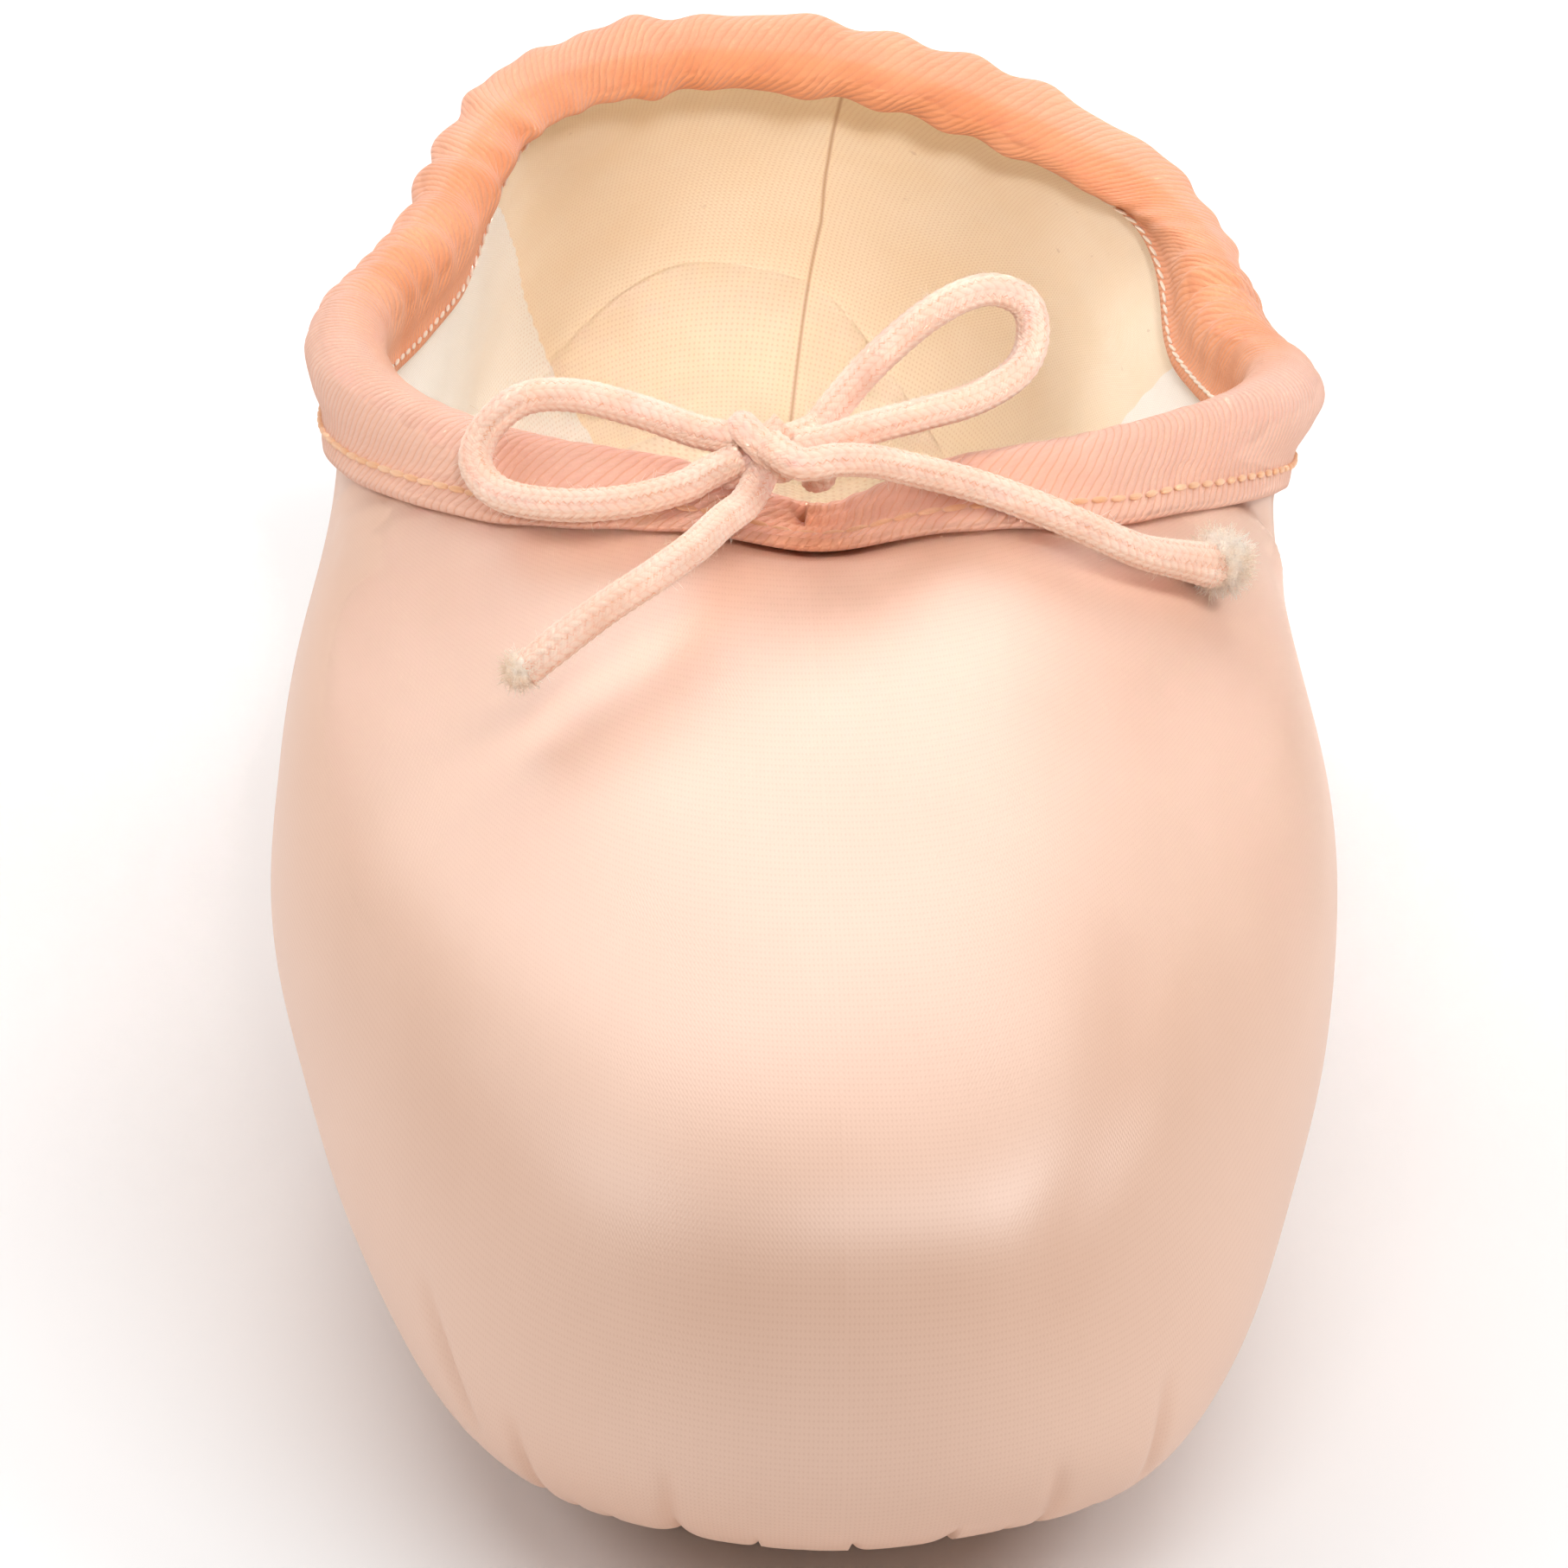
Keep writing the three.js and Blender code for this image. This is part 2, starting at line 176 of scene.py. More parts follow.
def paint(piece, name, values):
    """A number at each vertex, for the material to read."""
    attribute = piece.data.attributes.new(name, "FLOAT", "POINT")
    attribute.data.foreach_set("value", np.asarray(values, np.float32).ravel())


def running_length(points):
    steps = np.linalg.norm(np.diff(points, axis=0), axis=1)
    return np.concatenate([[0], np.cumsum(steps)])


# %% [markdown]
# ## Helpers for materials and repeats
# A material is a short tree of nodes around one Principled shader. Effects that several materials share,
# such as a weave, are node groups with named inputs. Stitches and fibres are Geometry Nodes: a tree
# places one small shape many times, and the result is turned into a plain mesh.

# %% Node helpers


def add_node(tree, kind, sockets=None, **settings):
    node = tree.nodes.new(kind)
    for name, value in settings.items():
        setattr(node, name, value)
    for name, value in (sockets or {}).items():
        if isinstance(value, bpy.types.NodeSocket):
            tree.links.new(value, node.inputs[name])
        else:
            node.inputs[name].default_value = value
    return node


def math_node(tree, operation, first, second=0.0):
    return add_node(tree, "ShaderNodeMath", {0: first, 1: second}, operation=operation).outputs[0]


def times(tree, first, second):
    return math_node(tree, "MULTIPLY", first, second)


def plus(tree, first, second):
    return math_node(tree, "ADD", first, second)


def sine(tree, phase, turn):
    return math_node(tree, "SINE", times(tree, phase, turn))


def noise(tree, place, scale, detail):
    sockets = {"Vector": place, "Scale": scale, "Detail": detail}
    return add_node(tree, "ShaderNodeTexNoise", sockets).outputs[0]


def mixed_colour(tree, share, first, second, blend_type="MIX"):
    node = add_node(tree, "ShaderNodeMix", {"Factor": share}, data_type="RGBA", blend_type=blend_type)
    for socket, value in ((node.inputs[6], first), (node.inputs[7], second)):
        if isinstance(value, bpy.types.NodeSocket):
            tree.links.new(value, socket)
        else:
            socket.default_value = (*value, 1)
    return node.outputs[2]


def spread(tree, value, low, high, new_low=0.0, new_high=1.0):
    sockets = {"Value": value, "From Min": low, "From Max": high, "To Min": new_low, "To Max": new_high}
    return add_node(tree, "ShaderNodeMapRange", sockets).outputs[0]


def shader_group(name, inputs, outputs):
    group = bpy.data.node_groups.new(name, "ShaderNodeTree")
    for label, kind, value in inputs:
        socket = group.interface.new_socket(name=label, in_out="INPUT", socket_type=kind)
        if value is not None:
            socket.default_value = value
    for label, kind in outputs:
        group.interface.new_socket(name=label, in_out="OUTPUT", socket_type=kind)
    return group, group.nodes.new("NodeGroupInput").outputs, group.nodes.new("NodeGroupOutput").inputs


def place_group(tree, group, sockets):
    return add_node(tree, "ShaderNodeGroup", sockets, node_tree=group).outputs


def new_material(name, **shader_values):
    material = bpy.data.materials.new(name)
    material.use_nodes = True
    tree = material.node_tree
    shader = tree.nodes["Principled BSDF"]
    for socket, value in shader_values.items():
        shader.inputs[socket.replace("_", " ")].default_value = value
    return material, tree, shader


def bumped(tree, shader, height, strength, depth):
    """Height in a 0 to 1 range, standing for depth in millimetres."""
    sockets = {"Height": height, "Strength": strength, "Distance": depth * MM}
    tree.links.new(add_node(tree, "ShaderNodeBump", sockets).outputs[0], shader.inputs["Normal"])


# %% [markdown]
# ## Shared effects
# Satin, canvas and tape are all woven, so they share a weave: two waves across the cloth, one for each
# set of threads. Cloth is never one flat colour either, so a second group adds slow changes of tone.
# Twill has diagonal ridges, called wales, which the binding tape and the cotton threads both show.

# %% Weave, wales and tone groups
FLOAT = "NodeSocketFloat"
VECTOR = "NodeSocketVector"
COLOUR = "NodeSocketColor"

FULL_TURN = 2 * np.pi
FLOATS_PER_WALE = 1.6
SPECK_BROWN = (0.35, 0.17, 0.09)

weave_group, given, made = shader_group(
    "Woven threads",
    [("Surface", VECTOR, None), ("Warp per mm", FLOAT, 4.0), ("Weft per mm", FLOAT, 4.0),
     ("Slub", FLOAT, 0.3)],
    [("Height", FLOAT), ("Gap", FLOAT)],
)
tree = weave_group
place = add_node(tree, "ShaderNodeSeparateXYZ", {0: given["Surface"]}).outputs
shift = times(tree, noise(tree, given["Surface"], 0.9, 2.0), given["Slub"])
warp = sine(tree, plus(tree, times(tree, place[0], given["Warp per mm"]), shift), FULL_TURN)
weft = sine(tree, plus(tree, times(tree, place[1], given["Weft per mm"]), shift), FULL_TURN)
tree.links.new(spread(tree, times(tree, warp, weft), -1.0, 1.0), made["Height"])
# Gap is high where both sets of threads dip; the materials darken their colour there as painted shade between
# the threads.
tree.links.new(spread(tree, plus(tree, warp, weft), -0.6, -2.0), made["Gap"])

twill_group, given, made = shader_group(
    "Twill wales",
    [("Surface", VECTOR, None), ("Wales per mm", FLOAT, 1.1), ("Slant", FLOAT, 0.6), ("Wander", FLOAT, 0.5)],
    [("Height", FLOAT), ("Furrow", FLOAT)],
)
tree = twill_group
place = add_node(tree, "ShaderNodeSeparateXYZ", {0: given["Surface"]}).outputs
wobble = noise(tree, given["Surface"], 0.16, 3.0)
slanted = plus(tree, place[0], times(tree, place[1], given["Slant"]))
phase = plus(tree, times(tree, slanted, given["Wales per mm"]), times(tree, wobble, given["Wander"]))
wale = math_node(tree, "ABSOLUTE", sine(tree, phase, np.pi))
across_wale = math_node(tree, "SUBTRACT", times(tree, place[1], FLOATS_PER_WALE), phase)
yarn = math_node(tree, "ABSOLUTE", sine(tree, across_wale, np.pi))
rounded = plus(tree, times(tree, wale, 0.75), times(tree, times(tree, yarn, wale), 0.25))
tree.links.new(rounded, made["Height"])
# Furrow is high between the wales; the tape darkens its colour there as painted shade.
tree.links.new(spread(tree, wale, 0.45, 0.0), made["Furrow"])

tone_group, given, made = shader_group(
    "Cloth tone",
    [("Surface", VECTOR, None), ("Size", FLOAT, 0.05), ("First", COLOUR, (1, 1, 1, 1)),
     ("Second", COLOUR, (1, 1, 1, 1)), ("Specks", FLOAT, 0.0)],
    [("Colour", COLOUR), ("Patch", FLOAT)],
)
tree = tone_group
patch = spread(tree, noise(tree, given["Surface"], given["Size"], 4.0), 0.35, 0.65)
fine = noise(tree, given["Surface"], 0.42, 1.0)
speck = times(tree, spread(tree, fine, 0.75, 0.79), given["Specks"])
plain = mixed_colour(tree, patch, given["First"], given["Second"])
tree.links.new(mixed_colour(tree, speck, plain, SPECK_BROWN), made["Colour"])
tree.links.new(patch, made["Patch"])
print("shared groups:", weave_group.name, "/", twill_group.name, "/", tone_group.name)


def surface_map(tree):
    return add_node(tree, "ShaderNodeUVMap", uv_map="Surface").outputs[0]


def tone_of(tree, place, size, first, second, specks=0.0):
    return place_group(tree, tone_group, {
        "Surface": place, "Size": size, "First": (*first, 1), "Second": (*second, 1), "Specks": specks})


def weave_of(tree, place, warp, weft, slub):
    return place_group(tree, weave_group, {
        "Surface": place, "Warp per mm": warp, "Weft per mm": weft, "Slub": slub})


def painted(tree, name):
    return add_node(tree, "ShaderNodeAttribute", attribute_name=name).outputs["Fac"]


# %% [markdown]
# ## The drawstring's braid
# The drawstring is a soft round braid of cotton, about 2.6 mm thick. Its yarns cross in columns of small
# chevrons, so its outline is never quite smooth. A curve with a round bevel would be, so the tube is lofted
# along its route and its radius follows the columns. Its texture map is in millimetres, along and round.

# %% Braid builder
CORD_DIAMETER = 2.6
BRAID_COLUMNS = 6
CHEVRON_PITCH = 0.8
CHEVRON_SLANT = 0.7
BRAID_DEPTH = 0.12
BRAID_SIDES = 72
BRAID_STEP = 0.16
ROUTE_STOPS = 24
SHOE_SHIFT = np.array([-1.3, -111.6, 0.0])


def smooth_route(points, step):
    """A Catmull-Rom curve through the points, in steps of equal length."""
    points = np.asarray(points, float)
    padded_points = np.vstack([2 * points[0] - points[1], points, 2 * points[-1] - points[-2]])
    share = np.linspace(0, 1, ROUTE_STOPS, endpoint=False)[:, None]
    pieces = []
    for before, start, end, after in zip(*(padded_points[first:] for first in range(4))):
        pieces.append(0.5 * (
            2 * start + (end - before) * share
            + (2 * before - 5 * start + 4 * end - after) * share ** 2
            + (3 * start - before - 3 * end + after) * share ** 3
        ))
    curve = np.vstack([*pieces, points[-1:]])
    along = running_length(curve)
    stops = np.linspace(0, along[-1], max(2, int(round(along[-1] / step)) + 1))
    return np.column_stack([np.interp(stops, along, curve[:, axis]) for axis in range(3)])


def carried_frames(route):
    """Two directions across the route at each point, carried along it without twisting."""
    forward = np.gradient(route, axis=0)
    forward /= np.linalg.norm(forward, axis=1, keepdims=True)
    side = unit(np.cross(forward[0], [0.3, 0.2, 1.0]))
    sides = []
    for direction in forward:
        side = unit(side - direction * np.dot(side, direction))
        sides.append(side)
    sides = np.array(sides)
    return sides, np.cross(forward, sides)


def braid(name, points, diameter=CORD_DIAMETER, swell=None):
    """A braided tube along the points. Swell is a share of the radius at each point of the route."""
    route = smooth_route(points, BRAID_STEP)
    along = running_length(route)
    sides, ups = carried_frames(route)
    angle = np.arange(BRAID_SIDES) / BRAID_SIDES * FULL_TURN
    column = angle / FULL_TURN * BRAID_COLUMNS
    zigzag = np.abs(np.mod(column, 1) - 0.5) * 2
    phase = along[:, None] / CHEVRON_PITCH + zigzag[None, :] * CHEVRON_SLANT
    yarn = np.abs(np.sin(np.pi * phase)) ** 0.7
    spine = np.abs(np.sin(np.pi * 2 * column)) ** 0.45
    crest = yarn * (0.35 + 0.65 * spine[None, :])
    radius = diameter / 2 - BRAID_DEPTH * (1 - crest)
    if swell is not None:
        share = np.linspace(0, 1, len(route))
        radius = radius * np.interp(share, np.linspace(0, 1, len(swell)), swell)[:, None]
    rings = route[:, None, :] + radius[..., None] * (
        np.cos(angle)[None, :, None] * sides[:, None, :] + np.sin(angle)[None, :, None] * ups[:, None, :])
    girth = np.arange(BRAID_SIDES + 1) / BRAID_SIDES * np.pi * CORD_DIAMETER
    texture = np.stack(np.meshgrid(along, girth, indexing="ij"), axis=-1)
    piece = lofted_piece(name, rings, texture, ends_meet=False)
    paint(piece, "furrow", 1 - crest)
    return piece, route, along[-1]


# %% [markdown]
# Cotton is matt and a little see-through at its fuzzy edges. Where two columns of yarn meet, a thin zigzag
# groove runs along the cord, and short slanted strokes lie between; painted shade colours them orange, and
# the braid's furrows too. They are finer than the mesh, so the material draws them from the texture map: a
# triangle wave makes the zigzag, and noise breaks it up.

# %% Cord material
cord_material, tree, shader = new_material(
    "braided cotton", Roughness=0.9, Sheen_Weight=0.3, Sheen_Roughness=0.5, Specular_IOR_Level=0.2)
surface = surface_map(tree)
COLUMN_WIDTH = np.pi * CORD_DIAMETER / BRAID_COLUMNS
TOOTH_PITCH = 0.56
TOOTH_REACH = 0.2
LINE_HALF_WIDTH = 0.085
place = add_node(tree, "ShaderNodeSeparateXYZ", {0: surface}).outputs
tooth = math_node(tree, "PINGPONG", math_node(tree, "DIVIDE", place[0], TOOTH_PITCH), 0.5)
shifted = plus(tree, math_node(tree, "DIVIDE", place[1], COLUMN_WIDTH), times(tree, tooth, 2 * TOOTH_REACH))
from_line = math_node(tree, "PINGPONG", shifted, 0.5)
line = spread(tree, from_line, LINE_HALF_WIDTH, 0.02)
groove_shade = times(tree, line, spread(tree, noise(tree, surface, 2.4, 1.0), 0.35, 0.65, 0.0, 0.75))
tone = tone_of(tree, surface, 0.3, (0.90, 0.60, 0.45), (0.94, 0.70, 0.56))
GROOVE_SHADE_ORANGE = (0.82, 0.36, 0.19)
twist = place_group(tree, twill_group, {
    "Surface": surface, "Wales per mm": 3.2, "Slant": 0.9, "Wander": 0.8})
# Painted shade: the furrows of the braid and the zigzag grooves are coloured orange.
furrow_shade = spread(tree, painted(tree, "furrow"), 0.4, 0.95, 0.0, 0.5)
furrow_shaded = mixed_colour(tree, furrow_shade, tone["Colour"], GROOVE_SHADE_ORANGE)
tree.links.new(mixed_colour(tree, groove_shade, furrow_shaded, GROOVE_SHADE_ORANGE), shader.inputs["Base Color"])
relief = math_node(tree, "SUBTRACT", times(tree, twist["Height"], 0.7), line)
bumped(tree, shader, relief, 0.5, 0.08)

fibre_material, tree, shader = new_material(
    "cotton fibres", Roughness=0.85, Sheen_Weight=0.25, Specular_IOR_Level=0.2)
place = add_node(tree, "ShaderNodeTexCoord").outputs["Object"]
tone = tone_of(tree, place, 500.0, (0.97, 0.78, 0.60), (0.99, 0.91, 0.82))
tree.links.new(tone["Colour"], shader.inputs["Base Color"])

# %% [markdown]
# ## The bow
# Two loops and two short ends leave a knot at the middle of the throat. Each route is a short list of
# points that a hand could lay a string along: across, back and up, in millimetres from the toe's end.
# Letting a simulation drop the string would be slower, and it would not fall as this bow did.

# %% Routes of the bow
KNOT_CENTRE = np.array([-3.3, 83.4, 61.5])
LOOP_LEFT = [
    [-4.9, 84.0, 61.9], [-8.1, 84.5, 62.3], [-12.3, 85.7, 63.4], [-17.2, 86.7, 64.3],
    [-21.2, 87.1, 63.8], [-24.0, 86.5, 61.4], [-24.6, 84.5, 59.4], [-22.6, 81.7, 58.3],
    [-18.2, 79.3, 58.5], [-13.6, 78.8, 59.0], [-9.4, 80.1, 59.6], [-7.6, 81.1, 60.2], [-5.2, 82.4, 60.9],
]
LOOP_RIGHT = [
    [-1.6, 86.0, 60.8], [0.9, 87.5, 61.3], [2.6, 88.8, 62.9], [5.6, 90.9, 65.6], [9.9, 92.9, 68.6],
    [13.8, 94.3, 69.8], [16.8, 94.7, 68.6], [17.4, 93.5, 66.3], [16.2, 91.3, 64.4], [12.8, 88.3, 63.4],
    [8.4, 85.5, 63.2], [4.6, 83.9, 62.8], [1.9, 83.3, 62.1], [-0.8, 83.2, 61.6],
]
END_RIGHT = [
    [-2.9, 80.4, 62.9], [-0.7, 78.4, 62.2], [2.0, 78.9, 62.3], [5.0, 80.3, 61.6], [8.4, 80.8, 60.6],
    [11.8, 80.3, 59.9], [15.0, 79.5, 59.1], [18.4, 78.7, 58.0], [21.6, 78.5, 56.6], [25.0, 79.9, 54.5],
    [28.2, 82.3, 52.8], [30.8, 84.7, 51.3],
]
END_LEFT = [
    [-3.0, 82.6, 60.4], [-4.6, 79.0, 58.9], [-6.6, 75.1, 58.9], [-8.8, 70.5, 58.8], [-11.6, 66.7, 58.3],
    [-15.4, 63.7, 56.9], [-18.6, 62.0, 55.1], [-21.6, 60.7, 53.0],
]


def in_shoe(points):
    return np.asarray(points, float) + SHOE_SHIFT


LEFT_SWELL = [1, 1, 1, 1, 1, 1, 1, 1.02, 1.08, 1.0]
RIGHT_SWELL = [1, 1, 1, 1, 1, 1, 1, 1.02, 1.15, 1.35]
bow = {
    "drawstring_loop_left": braid("loop_left", in_shoe(LOOP_LEFT)),
    "drawstring_loop_right": braid("loop_right", in_shoe(LOOP_RIGHT)),
    "drawstring_end_left": braid("end_left", in_shoe(END_LEFT), swell=LEFT_SWELL),
    "drawstring_end_right": braid("end_right", in_shoe(END_RIGHT), swell=RIGHT_SWELL),
}
for node, (piece, route, length) in bow.items():
    piece.data.materials.append(cord_material)
    print(f"{node}: {length:.1f} mm of braid")

# %% [markdown]
# The knot is one strand wrapped over the bases of the loops. It is drawn as a ring of braid that leans with
# the strand in the photograph, round a short core. Two feeds come up to it out of the binding's casing.

# %% Knot
WRAP_RADIUS_ACROSS = 2.1
WRAP_RADIUS_DEEP = 1.7
WRAP_DIAMETER = 2.5
WRAP_STOPS = 17
CORE_DIAMETER = 2.4
CORE_STOPS = (-2.6, 0.0, 2.4)
FEED_DIAMETER = 2.3
wrap_axis = unit(view_right * 0.72 + view_up * 0.69)
wrap_across = unit(view_up * 0.72 - view_right * 0.69)
knot_place = in_shoe(KNOT_CENTRE)
turn = np.linspace(0, FULL_TURN, WRAP_STOPS)[:, None]
wrap_route = knot_place + WRAP_RADIUS_ACROSS * np.cos(turn) * wrap_across
wrap_route = wrap_route + WRAP_RADIUS_DEEP * np.sin(turn) * backward
FEED_LEFT = [[-6.4, 88.0, 57.2], [-5.6, 85.2, 58.6], [-4.4, 83.8, 60.6]]
FEED_RIGHT = [[0.9, 87.2, 57.4], [1.2, 84.4, 58.9], [-0.6, 83.8, 61.0]]
knot_strands = [
    braid("knot_wrap", wrap_route, WRAP_DIAMETER)[0],
    braid("knot_core", [knot_place + wrap_axis * at for at in CORE_STOPS], CORE_DIAMETER)[0],
    braid("knot_feed_left", in_shoe(FEED_LEFT), FEED_DIAMETER)[0],
    braid("knot_feed_right", in_shoe(FEED_RIGHT), FEED_DIAMETER)[0],
]


def joined(name, pieces):
    """Several meshes made one, with their texture maps and painted values."""
    with bpy.context.temp_override(
            active_object=pieces[0], selected_editable_objects=pieces, selected_objects=pieces):
        bpy.ops.object.join()
    pieces[0].name = name
    pieces[0].data.name = name
    return pieces[0]


for strand in knot_strands:
    strand.data.materials.append(cord_material)
knot = joined("drawstring_bow_knot", knot_strands)
print("knot:", len(knot.data.polygons), "faces")

# %% [markdown]
# ## Fuzz and frayed tips
# Cut cotton opens into a tuft, and loose fibres stand out all along a soft braid. A hair system would be
# lost in an export, so a Geometry Nodes tree plants one bent fibre at many points of a surface and
# makes the result real. The seed is fixed, so each run gives the same fuzz.

# %% Fibre tree


def geometry_tree(name, inputs):
    tree = bpy.data.node_groups.new(name, "GeometryNodeTree")
    tree.interface.new_socket(name="Geometry", in_out="INPUT", socket_type="NodeSocketGeometry")
    for label, kind, value in inputs:
        socket = tree.interface.new_socket(name=label, in_out="INPUT", socket_type=kind)
        if value is not None:
            socket.default_value = value
    tree.interface.new_socket(name="Geometry", in_out="OUTPUT", socket_type="NodeSocketGeometry")
    return tree, tree.nodes.new("NodeGroupInput").outputs, tree.nodes.new("NodeGroupOutput").inputs


def leaning(tree, given, rotation, least, most):
    """A rotation turned at random between two angles, which the Lean input scales."""
    low, high = (
        add_node(tree, "ShaderNodeVectorMath", {0: angles, 1: given["Lean"]}, operation="MULTIPLY").outputs[0]
        for angles in (least, most))
    lean = add_node(tree, "FunctionNodeRandomValue", {
        "Min": low, "Max": high, "Seed": given["Seed"]}, data_type="FLOAT_VECTOR")
    return add_node(tree, "FunctionNodeRotateRotation", {
        "Rotation": rotation, "Rotate By": lean.outputs[0]}, rotation_space="LOCAL").outputs[0]


def finish_tree(tree, given, made, instances):
    real = add_node(tree, "GeometryNodeRealizeInstances", {"Geometry": instances})
    soft = add_node(tree, "GeometryNodeSetShadeSmooth", {"Geometry": real.outputs[0]})
    dressed = add_node(tree, "GeometryNodeSetMaterial", {
        "Geometry": soft.outputs[0], "Material": given["Material"]})
    tree.links.new(dressed.outputs[0], made["Geometry"])


def grown(name, carrier, tree, values):
    """Runs a tree on a carrier and keeps the result as a plain mesh. The carrier is removed."""
    modifier = carrier.modifiers.new(tree.name, "NODES")
    modifier.node_group = tree
    for socket in tree.interface.items_tree:
        if socket.in_out == "INPUT" and socket.name in values:
            modifier[socket.identifier] = values[socket.name]
    evaluated = carrier.evaluated_get(bpy.context.evaluated_depsgraph_get())
    mesh = bpy.data.meshes.new_from_object(evaluated)
    mesh.name = name
    carrier.modifiers.remove(modifier)
    bpy.data.objects.remove(carrier)
    print(f"{name}: {len(mesh.polygons)} faces")
    return link_piece(name, mesh)


INT = "NodeSocketInt"
MATERIAL = "NodeSocketMaterial"
fibre_tree, given, made = geometry_tree("Planted fibres", [
    ("Fibres per square metre", FLOAT, 1e6), ("Length", FLOAT, 0.0015), ("Shortest", FLOAT, 0.4),
    ("Thickness", FLOAT, 0.00005), ("Lean", FLOAT, 0.8), ("Seed", INT, 1), ("Material", MATERIAL, None)])
points = add_node(fibre_tree, "GeometryNodeDistributePointsOnFaces", {
    "Mesh": given["Geometry"], "Density": given["Fibres per square metre"], "Seed": given["Seed"]})
bent = add_node(fibre_tree, "GeometryNodeCurvePrimitiveBezierSegment", {
    "Resolution": 5, "Start": (0, 0, 0), "Start Handle": (0.05, 0, 0.35), "End Handle": (0.4, 0.1, 0.55),
    "End": (0.55, 0.25, 0.85)})
size = add_node(fibre_tree, "ShaderNodeCombineXYZ", {axis: given["Length"] for axis in range(3)})
long = add_node(fibre_tree, "GeometryNodeTransform", {"Geometry": bent.outputs[0], "Scale": size.outputs[0]})
section = add_node(fibre_tree, "GeometryNodeCurvePrimitiveCircle", {
    "Resolution": 3, "Radius": given["Thickness"]})
fibre = add_node(fibre_tree, "GeometryNodeCurveToMesh", {
    "Curve": long.outputs[0], "Profile Curve": section.outputs[0], "Fill Caps": True})
turned = leaning(fibre_tree, given, points.outputs["Rotation"], (-1, -1, -3), (1, 1, 3))
reach = add_node(fibre_tree, "FunctionNodeRandomValue", {2: given["Shortest"], 3: 1.0}, data_type="FLOAT")
planted = add_node(fibre_tree, "GeometryNodeInstanceOnPoints", {
    "Points": points.outputs["Points"], "Instance": fibre.outputs[0], "Rotation": turned,
    "Scale": reach.outputs[1]})
finish_tree(fibre_tree, given, made, planted.outputs[0])

# %% [markdown]
# Each tip is a small dome of fibres. The right one has opened into a fluffy ball and the left one is only
# rough. The tufts grow from little domes that stay on as the soft core, and the fuzz grows from the braid.

# %% Tufts and fuzz
DOME_RINGS = 9
DOME_SIDES = 20
DOME_POLE = 0.06
DOME_LUMPS = 0.2


def dome(name, centre, radii):
    """A closed ball with soft lumps, in millimetres, with a different radius each way."""
    tilt = np.linspace(DOME_POLE, np.pi - DOME_POLE, DOME_RINGS)
    angle = np.arange(DOME_SIDES) / DOME_SIDES * FULL_TURN
    ball = np.stack([
        np.sin(tilt)[:, None] * np.cos(angle)[None, :],
        np.sin(tilt)[:, None] * np.sin(angle)[None, :],
        np.repeat(np.cos(tilt)[:, None], DOME_SIDES, axis=1),
    ], axis=-1)
    lumps = np.sin(3 * ball[..., :1] * 3 + 1) * np.cos(4 * ball[..., 1:2] + 2 * ball[..., 2:])
    rings = np.asarray(centre) + ball * (1 + DOME_LUMPS * lumps) * np.asarray(radii)
    texture = np.zeros((DOME_RINGS + 1, DOME_SIDES + 1, 2))
    return lofted_piece(name, rings, texture, ends_meet=False)


def copy_of(piece):
    return link_piece(piece.name + "_carrier", piece.data.copy())


right_tip = in_shoe(END_RIGHT[-1]) + [0.6, 0.6, 0.1]
left_tip = in_shoe(END_LEFT[-1]) + [-0.3, -0.1, 0.1]
right_core = dome("tuft_right_core", right_tip, (2.1, 1.9, 1.9))
left_core = dome("tuft_left_core", left_tip, (1.2, 1.1, 1.2))
tufts = {}
for core, density, length, thickness, seed in (
        (right_core, 5.0e7, 1.3, 0.022, 11), (left_core, 4.5e7, 0.9, 0.02, 12)):
    core.data.materials.append(fibre_material)
    tufts[core.name] = grown(core.name.replace("core", "fray"), copy_of(core), fibre_tree, {
        "Fibres per square metre": density, "Length": length * MM, "Shortest": 0.3,
        "Thickness": thickness * MM, "Lean": 0.9, "Seed": seed, "Material": fibre_material})
fuzz = {}
for seed, (node, (piece, route, length)) in enumerate(bow.items(), 21):
    fuzz[node] = grown(piece.name + "_fuzz", copy_of(piece), fibre_tree, {
        "Fibres per square metre": 9e5, "Length": 0.9 * MM, "Shortest": 0.3,
        "Thickness": 0.014 * MM, "Lean": 1.1, "Seed": seed, "Material": fibre_material})

with_tips = {
    "drawstring_end_left": [left_core, tufts["tuft_left_core"]],
    "drawstring_end_right": [right_core, tufts["tuft_right_core"]],
    "drawstring_loop_left": [knot],
}
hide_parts("drawstring_knot")
for node, (piece, route, length) in bow.items():
    carried = [fuzz[node], *with_tips.get(node, [])]
    for part in (piece, *carried):
        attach(part, "root")
    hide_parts(node)

# %% [markdown]
# ## The last
# A shoe takes its shape from a last. Loops of points round the last, from the sole opening up to the
# collar, make a net, and a smooth surface follows that net. Loops are drawn for one side and mirrored.
# Sculpting could give the form too, but the same few sizes as the solid keep every layer on it.

# %% Sizes and loops of the last
LENGTH = 223.0
BALL_WIDTH = 80.0
INSTEP_HEIGHT = 57.0
HEEL_HEIGHT = 49.0
BOX_WALL = 2.6
COLLAR_WALL = 1.4
SOLE_TOP = 3.3
RISE_FADES_OUT = 26.0
ARCH_RISE = 4.0
ARCH_FROM = 84.0
ARCH_TO = 184.0
TOE_SPRING = 2.5
TOE_SPRING_FROM = 44.0
LEAN = np.radians(10.7)
LEAN_FROM = 88.0
LEAN_FULL = 190.0
LEAN_PIVOT = 5.0
LEAN_HEIGHT = 40.0
PULL_DEPTH = 3.2
PULL_AT = 0.008
PULL_HALF_WIDTH = 0.05
PULL_FROM = 0.955
TURN_OUT = 0.7
TURN_UP = 0.15
# Stations: toe centre, toe corner, toe side, ball, wing, waist, heel side, heel back.
REAR_SHARE = np.array([0, 0, 0, 0, 0.35, 0.7, 1, 1])
